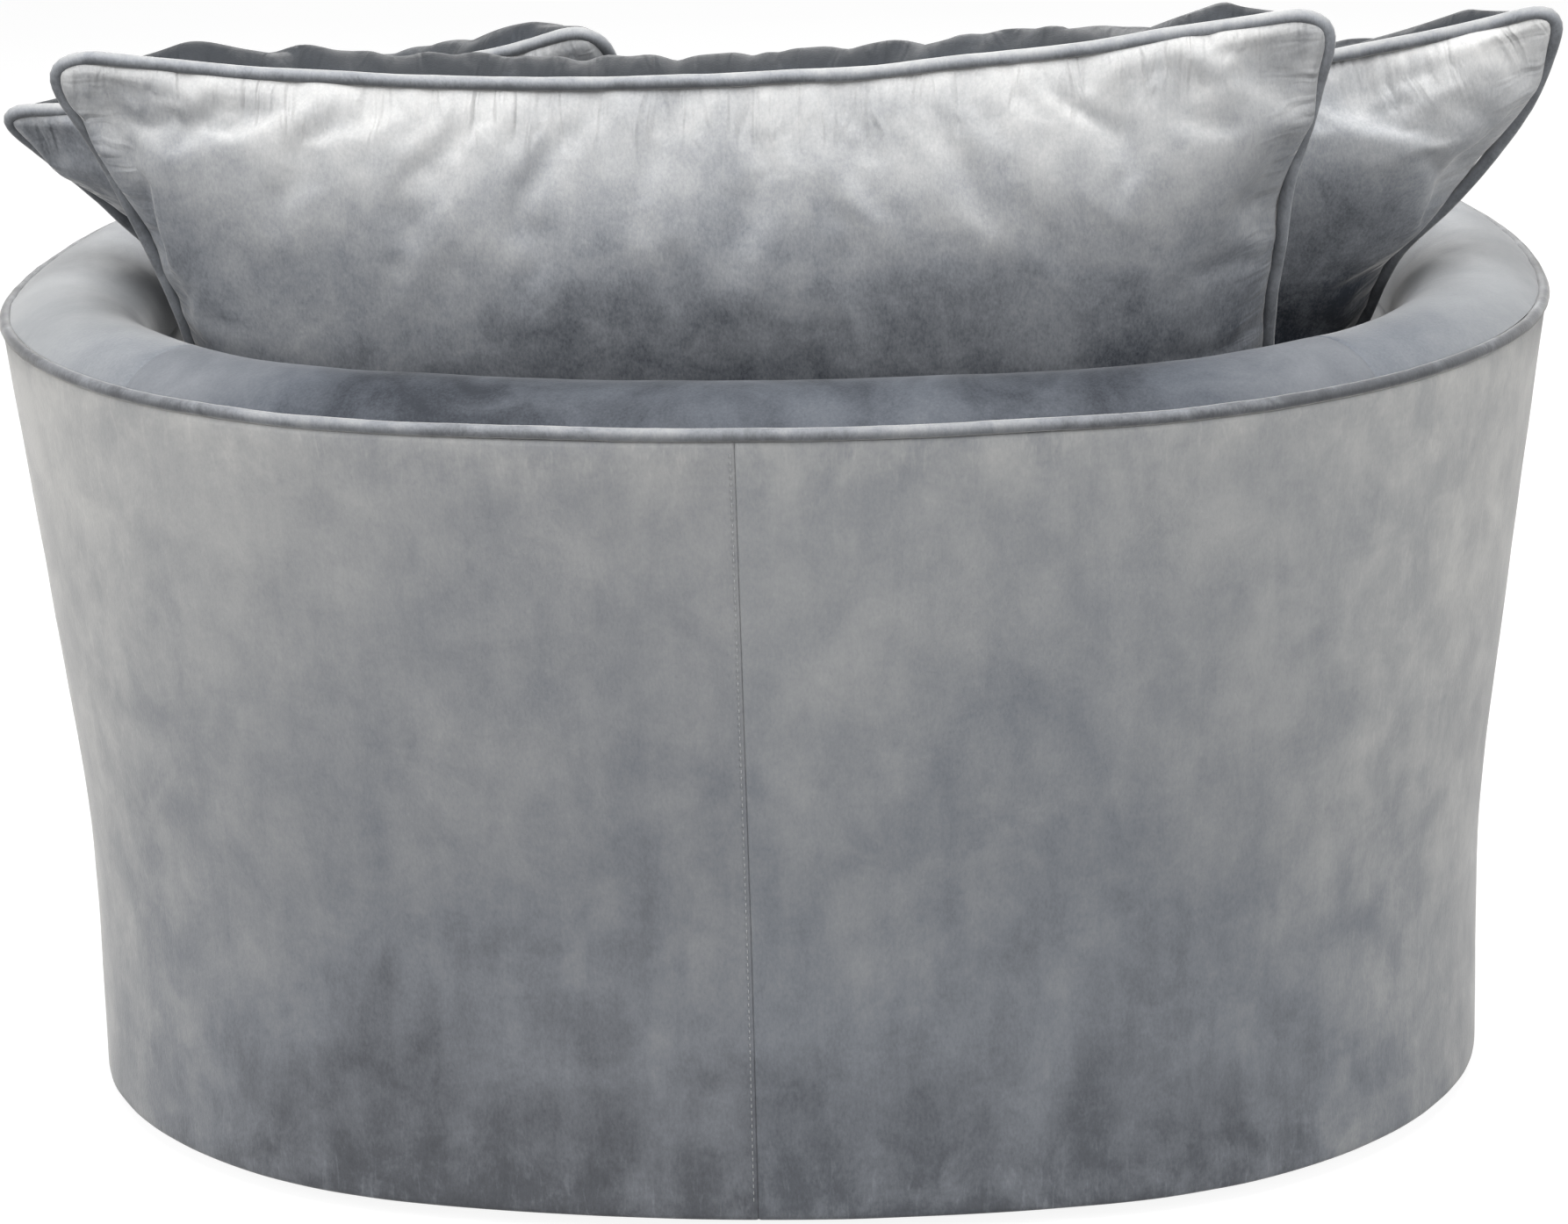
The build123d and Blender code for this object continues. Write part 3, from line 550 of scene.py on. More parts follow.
def envelope(size, cell):
    """Grid places (s, t, u, v) of a flat pillow cover, and its rows and columns."""
    top, bottom, height, corner, draw, slide = size
    cols, rows = ceil((top + bottom) / cell), ceil(2 * height / cell)
    places = []
    for j in range(rows + 1):
        for i in range(cols + 1):
            s, t = 2 * i / cols - 1, 2 * j / rows - 1
            wide = bottom + (top - bottom) * (t + 1) / 2
            u, v = abs(s) * wide, abs(t) * height
            a, b = corner - wide * (1 - abs(s)), corner - height * (1 - abs(t))
            if a > 0 and b > 0:
                u += a * (sqrt(1 - b * b / (2 * corner * corner)) - 1)
                v += b * (sqrt(1 - a * a / (2 * corner * corner)) - 1)
            u -= draw * (1 - t * t) * abs(s) ** 3
            v -= draw * (1 - s * s) * abs(t) ** 3
            places.append((s, t, copysign(u, s) + slide * t, copysign(v, t)))
    return places, rows + 1, cols + 1


def stuffed(s, t):
    """Share of the full bulge at a place on a pillow's face."""
    return sqrt(max(0.0, (1 - s**4) * (1 - t**4)))


def sewn(places, rows, cols, front, rear):
    """Vertices and faces of the closed cover, front faces first, its seam loop, and where each
    vertex sits across (s) and up (t) the cover, from -1 to 1."""
    verts = [Vector((u, v, front * stuffed(s, t))) for s, t, u, v in places]
    spots = [(s, t) for s, t, u, v in places]
    back = list(range(len(places)))
    for k, (s, t, u, v) in enumerate(places):
        if abs(s) < 1 and abs(t) < 1:
            back[k] = len(verts)
            verts.append(Vector((u, v, -rear * stuffed(s, t))))
            spots.append((s, t))
    starts = [j * cols + i for j in range(rows - 1) for i in range(cols - 1)]
    faces = [(a, a + 1, a + cols + 1, a + cols) for a in starts]
    faces += [(back[a], back[a + cols], back[a + cols + 1], back[a + 1]) for a in starts]
    seam = list(range(cols)) + [j * cols + cols - 1 for j in range(1, rows)]
    seam += [(rows - 1) * cols + i for i in range(cols - 2, -1, -1)]
    seam += [j * cols for j in range(rows - 2, 0, -1)]
    return verts, faces, seam, spots


def blown(verts, faces, seam, spare, frames):
    """The cover after a cloth simulation: the seam is held, the cloth has some spare
    width, and pressure from inside puckers it along the seam."""
    mesh = bpy.data.meshes.new("blow")
    mesh.from_pydata([tuple(v) for v in verts], [], faces)
    obj = bpy.data.objects.new("blow", mesh)
    scene = bpy.context.scene
    scene.collection.objects.link(obj)
    obj.vertex_groups.new(name="seam").add(seam, 1.0, "ADD")
    modifier = obj.modifiers.new("Cloth", "CLOTH")
    cloth = modifier.settings
    cloth.vertex_group_mass = "seam"
    cloth.quality, cloth.mass, cloth.air_damping = 6, 0.25, 2.0
    cloth.tension_stiffness = cloth.compression_stiffness = 20
    cloth.shear_stiffness, cloth.bending_stiffness = 6, 0.25
    cloth.shrink_min = -spare
    cloth.use_pressure, cloth.uniform_pressure_force = True, 4.0
    cloth.effector_weights.gravity = 0
    modifier.point_cache.frame_start, modifier.point_cache.frame_end = 1, frames
    for f in range(1, frames + 1):
        scene.frame_set(f)
    shape = obj.evaluated_get(bpy.context.evaluated_depsgraph_get()).to_mesh()
    moved = [v.co.copy() for v in shape.vertices]
    bpy.data.objects.remove(obj)
    scene.frame_set(1)
    return moved


# The seat cushion's upper face as (inset, z)
SEAT_TOP = ((0.0, 0.400), (0.015, 0.424), (0.06, 0.435), (0.125, 0.443), (1.0, 0.4465))

# Where the pillows are kept clear of the tub: behind ARM_END_Y, and at insets in this range
ARM_END_Y, CLEAR_FROM, CLEAR_TO = -0.34, -0.02, 0.16


def seat_top(inset):
    """Height of the seat cushion's upper face at a distance inward from its edge."""
    for (a, za), (b, zb) in zip(SEAT_TOP, SEAT_TOP[1:]):
        if inset <= b:
            return za + (zb - za) * max(0.0, (inset - a) / (b - a))
    return SEAT_TOP[-1][1]


def settled(p, gap=0.0022):
    """A pillow point pushed clear of the tub wall, the rail's crown and the seat."""
    inset = plan_inset(p)
    if p.y > ARM_END_Y and CLEAR_FROM < inset < CLEAR_TO:
        out, lift = max(0.0, WALL + gap - inset), 0.0
        if p.z >= SPRING_LINE:
            r = INNER_CROWN_R if inset > CROWN_INSET else OUTER_CROWN_R
            across, above = inset - CROWN_INSET, p.z - (CROWN_Z - r)
            away = max(hypot(across, above), NEAR)
            push = max(0.0, r + gap - away)
            out, lift = push * across / away, push * above / away
        if out or lift:
            step = 0.001
            dx = plan_inset(p + Vector((step, 0, 0))) - inset
            dy = plan_inset(p + Vector((0, step, 0))) - inset
            norm = hypot(dx, dy)
            p = p + Vector((dx / norm * out, dy / norm * out, lift))
    low = seat_top(plan_inset(p) - SEAT_INSET) + gap
    return p if p.z >= low else Vector((p.x, p.y, low))


def eased(x):
    """0 up to x = 0 and 1 from x = 1, with a smooth rise between."""
    x = min(1.0, max(0.0, x))
    return x * x * (3 - 2 * x)


def noted(mesh, name, values):
    """Keep a vector for each vertex on the mesh, for its material to read."""
    layer = mesh.attributes.new(name, "FLOAT_VECTOR", "POINT")
    layer.data.foreach_set("vector", [c for value in values for c in value])


# Frames of the simulation, how far its puckers are calmed on the front's top roll and the rear's
# lower half, how far the side and top seams waver, and how often the seam line is smoothed
PUFF_FRAMES, FRONT_CALM, REAR_CALM = 24, 0.82, 0.6
SIDE_WAVE, TOP_WAVE, SEAM_PASSES = 0.0032, 0.0022, 3


def pillow(name, node, body, size, place, bulges, spare, cell, rise, sag, ends=(0.0, 0.0),
           outer=1, ear=0.0, belly=0.0):
    """A stuffed pillow and its piping. bulges are the depths of its front and rear faces, spare
    and cell the cloth's spare width and mesh size. rise is how far the front face rolls up past
    the top seam, and sag and ends how far that seam sinks in the middle and at its -X and +X
    ends. On the outer side, ear pulls the top corner outward, and belly the edge below it."""
    places, rows, cols = envelope(size, cell)
    verts, faces, seam, spots = sewn(places, rows, cols, *bulges)
    verts = blown(verts, faces, seam, spare, PUFF_FRAMES)
    high, low = max(v.z for v in verts), -min(v.z for v in verts)
    stand = lean(*place)
    done = []
    for v, (s, t) in zip(verts, spots):
        w = v.z * (bulges[0] / high if v.z > 0 else bulges[1] / low)
        if w > 0:
            w += FRONT_CALM * eased((t - 0.4) / 0.5) * (bulges[0] * stuffed(s, t) - w)
        else:
            w -= REAR_CALM * eased((0.35 - t) / 0.6) * (bulges[1] * stuffed(s, t) + w)
        roll = rise * (1 - s**4) * eased(2 * w / bulges[0]) * eased((t - 0.2) / 0.7)
        sink = (sag * (1 - s * s) + ends[0] * (1 - s) / 2 + ends[1] * (1 + s) / 2) * eased(t)
        high_up = max(0.0, t)
        pull = outer * eased(outer * s) * (ear * high_up**2 + 4 * belly * high_up * (1 - high_up))
        pull += SIDE_WAVE * wave((0, v.y, 0), 0.055, 2 + outer * s) * s**6
        sway = TOP_WAVE * wave((v.x, 0, 0), 0.080, 5 + t) * t**6
        done.append(settled(stand @ Vector((v.x + pull, v.y + roll - sink + sway, w))))
    for _ in range(SEAM_PASSES):
        loop = [done[k] for k in seam]
        for k, before, here, after in zip(seam, loop[-1:] + loop, loop, loop[1:] + loop[:1]):
            done[k] = (before + here * 2 + after) / 4
    pad = piece(name, done, faces, body)
    noted(pad.data, "level_seams", [(v.x, (1 - abs(t)) * size[2], v.z) for v, (s, t) in zip(verts, spots)])
    noted(pad.data, "upright_seams", [(v.y, (1 - abs(s)) * size[0], v.z) for v, (s, t) in zip(verts, spots)])
    smooth = pad.modifiers.new("Smooth", "SUBSURF")
    smooth.levels = smooth.render_levels = 1
    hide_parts(node)
    cord = tube(name + "_piping", [done[k] for k in seam], PIPE_R * 1.1, body, closed=True, wobble=0.06)
    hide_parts(node + "_piping")
    return [pad, cord]


# SIZE: half width at top and bottom, half height, corner radius, draw-in of the sides, slide of the top
# AT: x, y and z of the middle, then yaw, recline and roll in degrees
BACK_SIZE = (0.504, 0.414, 0.2335, 0.054, 0.030, 0.014)
BACK_AT = (0.028, 0.225, 0.6815, 0, 14.2, -1.5)
LEFT_SIZE = (0.243, 0.214, 0.2395, 0.034, 0.016, 0.045)
LEFT_AT = (0.270, -0.003, 0.666, -0.5, 34.5, -12.4)
RIGHT_SIZE = (0.268, 0.190, 0.2315, 0.034, 0.016, -0.060)
RIGHT_AT = (-0.294, 0.026, 0.665, 1.3, 24.9, -2)


def pillows():
    back = pillow("back_pad", "back_cushion", "back_pillow", BACK_SIZE, BACK_AT, (0.100, 0.088),
                  0.07, 0.0080, rise=0.027, sag=0.016)
    left = pillow("left_pad", "left_pillow", "left_throw_pillow", LEFT_SIZE, LEFT_AT, (0.078, 0.070),
                  0.06, 0.0075, rise=0.010, sag=0.010, ends=(0.010, -0.009),
                  ear=0.020, belly=0.004)
    right = pillow("right_pad", "right_pillow", "right_throw_pillow", RIGHT_SIZE, RIGHT_AT, (0.078, 0.070),
                   0.06, 0.0075, rise=0.012, sag=0.024, ends=(-0.005, 0.018),
                   outer=-1, ear=0.014, belly=0.034)
    return back, left, right


# Materials

def nodes_of(name):
    """A new material, its node tree and its shader."""
    mat = bpy.data.materials.new(name)
    mat.use_nodes = True
    tree = mat.node_tree
    return mat, tree, tree.nodes["Principled BSDF"]


def add(tree, kind, inputs=(), **props):
    """A new node; an input is set to a value or linked from an output."""
    node = tree.nodes.new(kind)
    for key, value in props.items():
        setattr(node, key, value)
    for key, value in dict(inputs).items():
        if isinstance(value, bpy.types.NodeSocket):
            tree.links.new(value, node.inputs[key])
        else:
            node.inputs[key].default_value = value
    return node


def scaled(tree, scale, place=(0, 0, 0)):
    """Object coordinates, stretched."""
    coord = add(tree, "ShaderNodeTexCoord").outputs["Object"]
    inputs = {"Vector": coord, "Scale": scale, "Location": place}
    return add(tree, "ShaderNodeMapping", inputs).outputs[0]


def part_of(tree, vector, axis):
    return add(tree, "ShaderNodeSeparateXYZ", {"Vector": vector}).outputs[axis]


def along(tree, axis):
    """One axis of the object coordinates."""
    return part_of(tree, add(tree, "ShaderNodeTexCoord").outputs["Object"], axis)


def ranged(tree, value, low, high, first=0.0, last=1.0, kind="LINEAR"):
    """A value mapped from low..high to first..last, and held beyond them."""
    inputs = {"Value": value, "From Min": low, "From Max": high, "To Min": first, "To Max": last}
    return add(tree, "ShaderNodeMapRange", inputs, interpolation_type=kind).outputs[0]


def reckoned(tree, operation, a, b):
    return add(tree, "ShaderNodeMath", {0: a, 1: b}, operation=operation).outputs[0]


def bumped(tree, height, strength, distance):
    inputs = {"Height": height, "Strength": strength, "Distance": distance}
    return add(tree, "ShaderNodeBump", inputs)


def speckle(tree, vector, scale, detail, rough=0.55, twist=0.0):
    """Noise between 0 and 1."""
    inputs = {"Vector": vector, "Scale": scale, "Detail": detail, "Roughness": rough, "Distortion": twist}
    return add(tree, "ShaderNodeTexNoise", inputs).outputs["Fac"]


def weighed(tree, parts):
    """Sum of (output, weight) pairs."""
    total = None
    for out, weight in parts:
        inputs = {0: out, 1: weight, 2: 0.0 if total is None else total}
        total = add(tree, "ShaderNodeMath", inputs, operation="MULTIPLY_ADD").outputs[0]
    return total


def ramp(tree, fac, stops):
    """Colour by value, through (value, colour) stops."""
    made = add(tree, "ShaderNodeValToRGB", {"Fac": fac})
    while len(made.color_ramp.elements) < len(stops):
        made.color_ramp.elements.new(0.5)
    for element, (place, colour) in zip(made.color_ramp.elements, stops):
        element.position, element.color = place, (*colour, 1)
    return made.outputs["Color"]


def sideways(tree, low, high):
    """0 at the middle of the chair, rising to 1 toward its sides."""
    width = add(tree, "ShaderNodeMath", {0: along(tree, "X")}, operation="ABSOLUTE").outputs[0]
    return ranged(tree, width, low, high, kind="SMOOTHSTEP")


def upward(tree, low, high):
    """-1 at the lower height, rising to 1 at the upper."""
    return ranged(tree, along(tree, "Z"), low, high, -1.0)


# Where scuffs fade in: heights below the rim and above the hem, and distances from the middle
RIM_SCUFFS, HEM_SCUFFS, SIDE_SCUFFS = (0.575, 0.645), (0.10, HEM_Z), (0.36, 0.56)
HAIR_SCALE, RUBBED_SHARE, HAIR_SHARE = (240, 240, 46), 0.8, 0.7


def scuffs(tree, patches, place):
    """Rubbed patches and short hairs that fade in toward the rim, the hem and the sides."""
    z = along(tree, "Z")
    rim = ranged(tree, z, *RIM_SCUFFS, kind="SMOOTHSTEP")
    hem = ranged(tree, z, *HEM_SCUFFS, kind="SMOOTHSTEP")
    near = reckoned(tree, "MAXIMUM", rim, hem)
    near = reckoned(tree, "MAXIMUM", near, sideways(tree, *SIDE_SCUFFS))
    rubbed = ranged(tree, patches, 0.42, 0.66)
    hair = speckle(tree, scaled(tree, HAIR_SCALE, place), 1.0, 2, 0.5, 0.8)
    worn = weighed(tree, [(rubbed, RUBBED_SHARE), (ranged(tree, hair, 0.56, 0.74), HAIR_SHARE)])
    return reckoned(tree, "MULTIPLY", near, worn)


# Mesh layers of the seams with the share of each, reach of the folds from a seam, and their scale
GATHERED_SEAMS = (("level_seams", 1.0), ("upright_seams", 0.55))
GATHER_REACH, GATHER_SCALE = (0.004, 0.070), (60, 13, 8)


def gathers(tree):
    """Fine gathers square to a pillow's seams, from the distances noted on its mesh."""
    folds = []
    for name, share in GATHERED_SEAMS:
        spot = add(tree, "ShaderNodeAttribute", attribute_name=name).outputs["Vector"]
        near = ranged(tree, part_of(tree, spot, "Y"), *GATHER_REACH, 1.0, 0.0, "SMOOTHSTEP")
        run = add(tree, "ShaderNodeMapping", {"Vector": spot, "Scale": GATHER_SCALE}).outputs[0]
        fold = reckoned(tree, "SUBTRACT", speckle(tree, run, 1.0, 1.5, 0.5, 1.1), 0.5)
        folds.append((reckoned(tree, "MULTIPLY", fold, near), share))
    return weighed(tree, folds)


# Velvet: the half tone's tint, the deepest tone as a share of the dark one, how far from the nap's
# middle the tones lie, scales of the noise, and shares of pile and scuffs
COOL, DEEP = (0.972, 1.0, 1.045), 0.55
DEEP_AT, DARK_AT, LIGHT_AT = 0.25, 0.13, 0.14
CLOUD_SCALE, BRUSH_SCALE, PILE_SCALE = 3.0, (30, 30, 6.5), 480.0
PILE_SHARE, SCUFF_SHARE = 0.12, 0.09
SHEEN_TINT = (1.0, 0.982, 0.955, 1)


def velvet(name, dark, light, streak=0.16, seed=0.0, lift=0.0, sheen=0.8, scuffed=False,
           crushed=0.30, clouded=0.44, ends=None, painted_top_light=0.0, span=(0.0, RIM_Z), shade=0.0, gathered=0.0,
           mottle=13.0, reach=0.28, twist=0.6):
    """Silky velvet: clouded nap, crushed mottling, brushed streaks, fine pile, and a sheen toward the
    edges. clouded, crushed and streak weigh the first three, mottle and twist are the
    mottling's scale and swirl, and seed moves them all. The pile is darker by shade all over.
    Its colour also holds painted light: paler by lift where it faces up, paler by ends (weight,
    from x, to x) toward the chair's sides as painted sheen, and paler by painted_top_light from
    the bottom to the top of span; negative weights paint shade there instead. reach is how far
    above the middle its palest tone lies. scuffed rubs it along rim, hem and sides, gathered sets
    its seam folds."""
    mat, tree, shader = nodes_of(name)
    place = (seed, seed * 0.7, seed * 1.3)
    plain = scaled(tree, (1, 1, 1), place)
    cloud = speckle(tree, plain, CLOUD_SCALE, 5, 0.55, 0.25)
    crush = speckle(tree, plain, mottle, 8, 0.66, twist)
    brushed = speckle(tree, scaled(tree, BRUSH_SCALE, place), 1.0, 4, 0.6, 0.5)
    pile = speckle(tree, scaled(tree, (1, 1, 0.5), place), PILE_SCALE, 2, 0.7)
    parts = [(cloud, clouded), (crush, crushed), (brushed, streak), (pile, PILE_SHARE)]
    middle = 0.5 * sum(w for _, w in parts) + shade
    # Painted light from above: paler where the surface faces up; a negative lift paints it darker there as
    # shade.
    if lift:
        normal = add(tree, "ShaderNodeNewGeometry").outputs["Normal"]
        parts.append((part_of(tree, normal, "Z"), lift))
    if scuffed:
        parts.append((scuffs(tree, crush, place), SCUFF_SHARE))
    # Painted sheen: paler toward the chair's sides; a negative weight paints it darker there.
    if ends:
        parts.append((sideways(tree, *ends[1:]), ends[0]))
    # Painted light: paler toward the top of span; a negative weight paints shade there.
    if painted_top_light:
        parts.append((upward(tree, *span), painted_top_light))
    deep = tuple(DEEP * c for c in dark)
    half = tuple((a + b) / 2 * c for a, b, c in zip(dark, light, COOL))
    glossed = tuple(a + (b - a) * reach / LIGHT_AT for a, b in zip(half, light))
    stops = [(middle - DEEP_AT, deep), (middle - DARK_AT, dark), (middle, half), (middle + reach, glossed)]
    tree.links.new(ramp(tree, weighed(tree, parts), stops), shader.inputs["Base Color"])
    tree.links.new(ranged(tree, crush, 0.3, 0.7, 0.70, 0.52), shader.inputs["Roughness"])
    shader.inputs["Specular IOR Level"].default_value = 0.25
    shader.inputs["Sheen Weight"].default_value = sheen
    shader.inputs["Sheen Roughness"].default_value = 0.36
    shader.inputs["Sheen Tint"].default_value = SHEEN_TINT
    height = weighed(tree, [(pile, 0.35), (crush, 0.50), (brushed, 0.15)])
    bump = bumped(tree, height, 0.35, 0.0020)
    if gathered:
        folds = bumped(tree, gathers(tree), gathered, 0.010)
        tree.links.new(bump.outputs["Normal"], folds.inputs["Normal"])
        bump = folds
    tree.links.new(bump.outputs["Normal"], shader.inputs["Normal"])
    return mat


def stripes(tree, vector, scale, twist, axis):
    inputs = {"Vector": vector, "Scale": scale, "Distortion": twist}
    return add(tree, "ShaderNodeTexWave", inputs, bands_direction=axis).outputs["Fac"]


def cells_of(tree, scale, output):
    inputs = {"Vector": scaled(tree, (1, 1, 1)), "Scale": scale}
    return add(tree, "ShaderNodeTexVoronoi", inputs).outputs[output]


def finished(mat, tree, shader, colour, rough, bump):
    """A material finished with its colour, an even roughness and a bump."""
    tree.links.new(colour, shader.inputs["Base Color"])
    shader.inputs["Roughness"].default_value = rough
    tree.links.new(bump.outputs["Normal"], shader.inputs["Normal"])
    return mat


def plywood(name):
    mat, tree, shader = nodes_of(name)
    grain = speckle(tree, scaled(tree, (4, 46, 46)), 1.0, 5, 0.6, 1.2)
    plies = stripes(tree, scaled(tree, (0, 0, 1)), 110.0, 0.6, "Z")
    tone = weighed(tree, [(grain, 0.75), (plies, 0.25)])
    stops = [(0.25, (0.36, 0.24, 0.13)), (0.5, (0.55, 0.40, 0.24)), (0.8, (0.68, 0.53, 0.35))]
    return finished(mat, tree, shader, ramp(tree, tone, stops), 0.62, bumped(tree, grain, 0.25, 0.0008))


def steel(name):
    mat, tree, shader = nodes_of(name)
    grey = add(tree, "ShaderNodeRGBToBW", {"Color": cells_of(tree, 160.0, "Color")}).outputs[0]
    colour = ramp(tree, grey, [(0.0, (0.44, 0.45, 0.47)), (1.0, (0.62, 0.63, 0.64))])
    tree.links.new(colour, shader.inputs["Base Color"])
    shader.inputs["Metallic"].default_value = 1.0
    tree.links.new(ranged(tree, grey, 0.0, 1.0, 0.28, 0.42), shader.inputs["Roughness"])
    return mat


def cloth(name, dark, light, threads):
    """Plain weave from two crossed waves."""
    mat, tree, shader = nodes_of(name)
    place = scaled(tree, (1, 1, 1))
    warp = stripes(tree, place, threads, 0.8, "X")
    weft = stripes(tree, place, threads, 0.8, "Y")
    fuzz = speckle(tree, place, 90.0, 4, 0.6)
    tone = weighed(tree, [(warp, 0.3), (weft, 0.3), (fuzz, 0.4)])
    colour = ramp(tree, tone, [(0.25, dark), (0.75, light)])
    return finished(mat, tree, shader, colour, 0.9, bumped(tree, tone, 0.4, 0.0006))


def foam(name):
    mat, tree, shader = nodes_of(name)
    cells = cells_of(tree, 420.0, "Distance")
    colour = ramp(tree, cells, [(0.0, (0.52, 0.47, 0.34)), (0.6, (0.74, 0.70, 0.58))])
    return finished(mat, tree, shader, colour, 0.95, bumped(tree, cells, 0.5, 0.001))


def moulded(name):
    mat, tree, shader = nodes_of(name)
    grain = speckle(tree, scaled(tree, (1, 1, 1)), 700.0, 2)
    colour = ramp(tree, grain, [(0.3, (0.020, 0.020, 0.021)), (0.7, (0.035, 0.035, 0.036))])
    return finished(mat, tree, shader, colour, 0.6, bumped(tree, grain, 0.3, 0.0004))


def painted(objs, mat):
    for obj in objs:
        obj.data.materials.clear()
        obj.data.materials.append(mat)


# Velvet tones: on the walls, on the pillows' rear, and on the rail behind them. The rail's tones are the
# same velvet made darker, as painted shade.
DARK, LIGHT = (0.107, 0.113, 0.127), (0.322, 0.328, 0.337)
SHADE, PALE = (0.036, 0.043, 0.057), (0.420, 0.424, 0.428)
RAIL_PAINTED_SHADE = (0.020, 0.024, 0.032), (0.145, 0.155, 0.172)


def dress_frame():
    """Materials of the CAD nodes that stay, by their slot."""
    by_slot = {
        "velvet": velvet("velvet_trim", DARK, LIGHT),
        "padding": foam("foam"),
        "webbing": cloth("webbing", (0.02, 0.02, 0.02), (0.09, 0.085, 0.08), 520),
        "dust_cloth": cloth("dust_cloth", (0.008, 0.008, 0.009), (0.022, 0.022, 0.024), 900),
        "plywood": plywood("plywood"),
        "zinc_steel": steel("zinc_steel"),
        "glide": moulded("glide"),
    }
    for entry in frame["record"]["subparts"]:
        painted([frame["nodes"][entry["node"]]], by_slot[entry["material_slot"]])


# Build

def build():
    dress_frame()
    tub = outer_covers() + [front_panel()]
    bands = [
        band("band_cover_left", BAND_L, "band_left"),
        band("band_cover_back", BAND_BACK, "band_back"),
        band("band_cover_right", BAND_R, "band_right"),
    ]
    arms = arm_front("arm_face_left", 1, "arm_front_pad_left")
    arms += arm_front("arm_face_right", -1, "arm_front_pad_right")
    cords = [rim_piping(), arms[1], arms[3]]
    seat = seat_cushion()
    back, left, right = pillows()
    stitches = back_seam_stitches()
    deck = deck_lining()
    lining = inner_lining()
    # Walls: painted light makes them paler toward the top, and painted sheen paler toward the chair's sides.
    wall = {"scuffed": True, "crushed": 0.27, "clouded": 0.38, "painted_top_light": 0.14, "shade": -0.012,
            "reach": 0.40, "mottle": 19.0, "twist": 0.3}
    left_wall = velvet("velvet_left", DARK, LIGHT, 0.17, ends=(0.19, 0.25, 0.60), **wall)
    right_wall = velvet("velvet_right", (0.109, 0.117, 0.133), (0.328, 0.336, 0.346), 0.17,
                        ends=(0.15, 0.25, 0.60), **wall)
    # Side bands: painted sheen makes them paler toward the chair's sides.
    side_band = velvet("velvet_band", SHADE, (0.242, 0.254, 0.270), 0.08, 3.0, sheen=0.5, crushed=0.16,
                       ends=(0.16, 0.42, 0.60))
    # Rail behind the pillows: darker tones, darker all over by shade and with little sheen, as painted shade
    # that eases paler toward its ends by the side bands.
    rail_band = velvet("velvet_rail", *RAIL_PAINTED_SHADE, 0.08, 3.0, sheen=0.12, ends=(0.22, 0.22, 0.50), shade=0.045)
    painted([tub[0], arms[0]], left_wall)
    painted([tub[1], arms[2]], right_wall)
    painted([tub[2], lining], velvet("velvet_tub", DARK, LIGHT, 0.22, 6.0))
    painted([bands[0], bands[2]], side_band)
    painted([bands[1]], rail_band)
    painted([seat[0]], velvet("velvet_seat", DARK, LIGHT, 0.08, 5.0))
    # Pillows' front faces: the pillow velvet in darker tones, darker still where they face up and toward
    # their top, as painted shade.
    front_painted_shade = velvet("velvet_front_painted_shade", (0.038, 0.044, 0.053), (0.262, 0.268, 0.278), 0.08, 4.0, sheen=0.15,
                     lift=-0.24, painted_top_light=-0.05, span=(0.70, 0.90), gathered=0.6)
    # Pillows' rear faces: painted light makes them paler toward their top and a little where they face up.
    brushed = velvet("velvet_pillow", SHADE, PALE, 0.06, 14.0, lift=0.05, sheen=0.6, painted_top_light=0.12,
                     span=(0.50, 0.90), clouded=0.38, shade=-0.016, gathered=0.8, mottle=19.0, twist=0.2)
    # Right pillow's rear face: a paler copy of the pillow velvet, with more painted top light.
    painted_lit_pillow = velvet("velvet_pillow_painted_lit", SHADE, (0.53, 0.535, 0.54), 0.06, 21.0, sheen=0.5, painted_top_light=0.19,
                     span=(0.55, 0.88), clouded=0.36, gathered=0.7, mottle=19.0, twist=0.2)
    # Front faces take the velvet of painted shade; rear faces take the velvet with painted top light.
    for pad, nap in ((back[0], brushed), (left[0], brushed), (right[0], painted_lit_pillow)):
        painted([pad], front_painted_shade)
        pad.data.materials.append(nap)
        half = len(pad.data.polygons) // 2
        pad.data.polygons.foreach_set("material_index", [0] * half + [1] * half)
    # Piping: painted light makes it paler where it faces up.
    pale = velvet("velvet_piping", (0.12, 0.127, 0.138), (0.42, 0.424, 0.428), 0.06, 1.0, lift=0.15,
                  shade=0.03, mottle=34.0)
    # Rim piping: painted light makes it a little paler where it faces up; it is also darker toward the
    # chair's sides.
    welt = velvet("velvet_welt", (0.10, 0.105, 0.115), (0.36, 0.364, 0.368), 0.06, 1.0, lift=0.04,
                  crushed=0.44, ends=(-0.16, 0.30, 0.56), mottle=26.0)
    painted(cords[1:] + seat[1:] + [back[1], left[1], right[1]], pale)
    painted(cords[:1], welt)
    painted([stitches], cloth("thread", (0.30, 0.31, 0.32), (0.46, 0.47, 0.48), 1800))
    painted([deck], cloth("deck_cloth", (0.035, 0.036, 0.038), (0.075, 0.076, 0.078), 700))


# Studio: half side of the floor, its glow to the eye, and the world's light on the object
FLOOR, FLOOR_GLOW, WORLD_LIGHT = 14, 0.90, 0.26

# Lamps as (name, place, target, width, height, watts)
LAMPS = (
    ("top", (0.1, 0.9, 3.4), (0, 0.1, 0.5), 2.8, 2.4, 108),
    ("left", (3.0, 2.2, 2.0), (0, 0, 0.5), 1.4, 2.2, 72),
    ("right", (-3.0, 2.2, 2.0), (0, 0, 0.5), 1.4, 2.2, 62),
    ("front", (0.0, -3.4, 2.4), (0, 0, 0.5), 2.4, 1.8, 60),
)

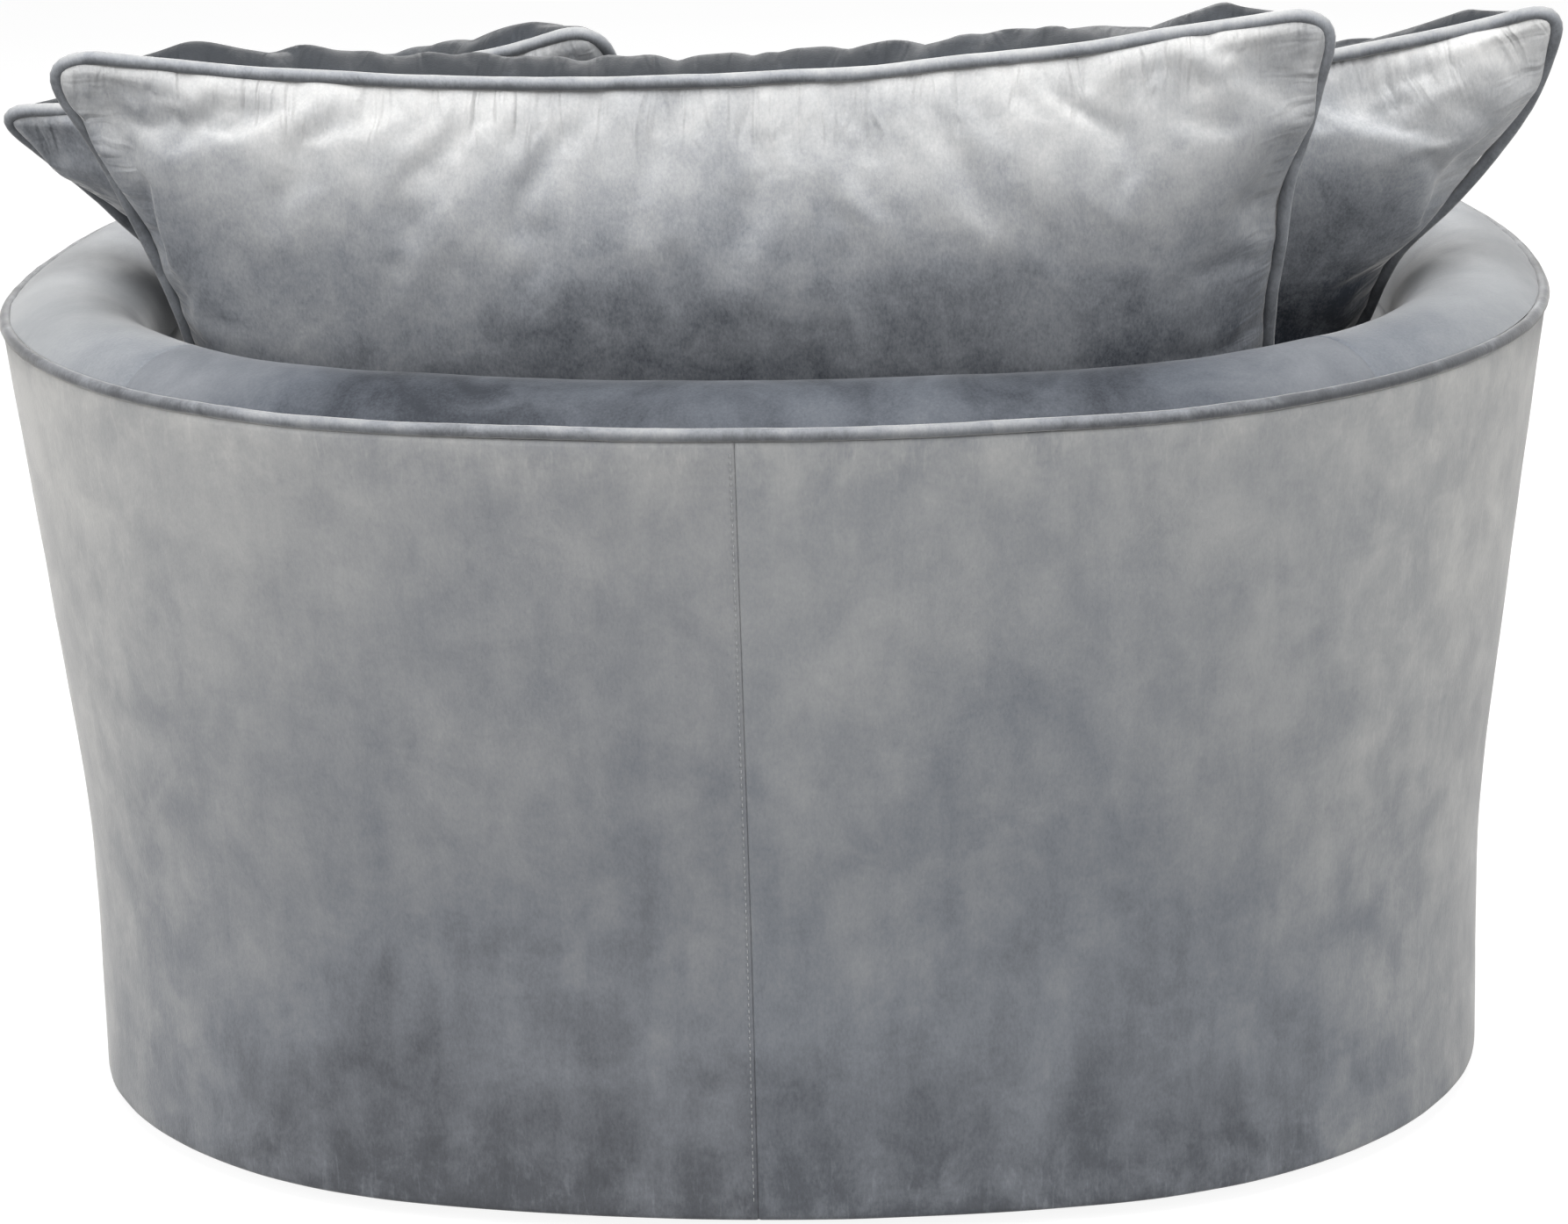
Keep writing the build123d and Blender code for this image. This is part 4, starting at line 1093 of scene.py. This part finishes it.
# Camera: place, turn in radians, focal length and sensor width in mm
CAMERA_AT, PITCH, YAW, ROLL = (-0.3011, 4.6616, 1.7136), 0.2820, -0.0647, -0.0232
LENS, SENSOR = 133.67, 36


def straight_rays(tree):
    """1 where the camera sees a surface, straight or by a mirror or through glass."""
    path = add(tree, "ShaderNodeLightPath").outputs
    seen = reckoned(tree, "MAXIMUM", path["Is Camera Ray"], path["Is Glossy Ray"])
    return reckoned(tree, "MAXIMUM", seen, path["Is Transmission Ray"])


def floor_paper():
    """White paper to the eye, which still takes a soft shadow; a grey one to other light."""
    mat, tree, shader = nodes_of("floor_paper")
    grain = speckle(tree, scaled(tree, (1, 1, 1)), 3.0, 2)
    mottle = ramp(tree, grain, [(0, (0.19, 0.19, 0.19)), (1, (0.22, 0.22, 0.22))])
    seen = add(tree, "ShaderNodeAddShader", {
        0: add(tree, "ShaderNodeBsdfDiffuse", {"Color": mottle}).outputs[0],
        1: add(tree, "ShaderNodeEmission", {"Strength": FLOOR_GLOW}).outputs[0],
    })
    other = add(tree, "ShaderNodeBsdfDiffuse", {"Color": (0.30, 0.30, 0.30, 1)})
    mix = add(tree, "ShaderNodeMixShader", {0: straight_rays(tree), 1: other.outputs[0], 2: seen.outputs[0]})
    tree.links.new(mix.outputs[0], tree.nodes["Material Output"].inputs["Surface"])
    tree.nodes.remove(shader)
    return mat


def studio():
    scene = bpy.context.scene
    scene.view_settings.view_transform = "Standard"
    floor = bpy.data.meshes.new("floor")
    corners = [(-FLOOR, -FLOOR, 0), (FLOOR, -FLOOR, 0), (FLOOR, FLOOR, 0), (-FLOOR, FLOOR, 0)]
    floor.from_pydata(corners, [], [(0, 1, 2, 3)])
    ground = bpy.data.objects.new("floor", floor)
    scene.collection.objects.link(ground)
    painted([ground], floor_paper())

    world = bpy.data.worlds.new("studio")
    scene.world = world
    world.use_nodes = True
    tree = world.node_tree
    level = ranged(tree, straight_rays(tree), 0.0, 1.0, WORLD_LIGHT, 1.0)
    tree.nodes["Background"].inputs["Color"].default_value = (1, 1, 1, 1)
    tree.links.new(level, tree.nodes["Background"].inputs["Strength"])

    for name, place, target, wide, tall, power in LAMPS:
        lamp = bpy.data.lights.new(name, "AREA")
        lamp.shape, lamp.size, lamp.size_y, lamp.energy = "RECTANGLE", wide, tall, power
        obj = bpy.data.objects.new(name, lamp)
        obj.location = place
        obj.rotation_euler = (Vector(target) - Vector(place)).to_track_quat("-Z", "Y").to_euler()
        obj.visible_camera = False
        scene.collection.objects.link(obj)


def camera():
    """The photograph's view: from behind, a little to the side and above."""
    ahead = Vector((-sin(YAW), -cos(YAW), 0))
    right = Vector((-cos(YAW), sin(YAW), 0))
    forward = ahead * cos(PITCH) - Vector((0, 0, 1)) * sin(PITCH)
    up = ahead * sin(PITCH) + Vector((0, 0, 1)) * cos(PITCH)
    x_axis = right * cos(ROLL) + up * sin(ROLL)
    y_axis = up * cos(ROLL) - right * sin(ROLL)
    turn = Matrix((x_axis, y_axis, -forward)).transposed().to_4x4()
    data = bpy.data.cameras.new("camera")
    data.sensor_width, data.lens = SENSOR, LENS
    data.sensor_fit = "HORIZONTAL"
    obj = bpy.data.objects.new("camera", data)
    obj.matrix_world = Matrix.Translation(CAMERA_AT) @ turn
    bpy.context.scene.collection.objects.link(obj)
    bpy.context.scene.camera = obj


build()
studio()
camera()
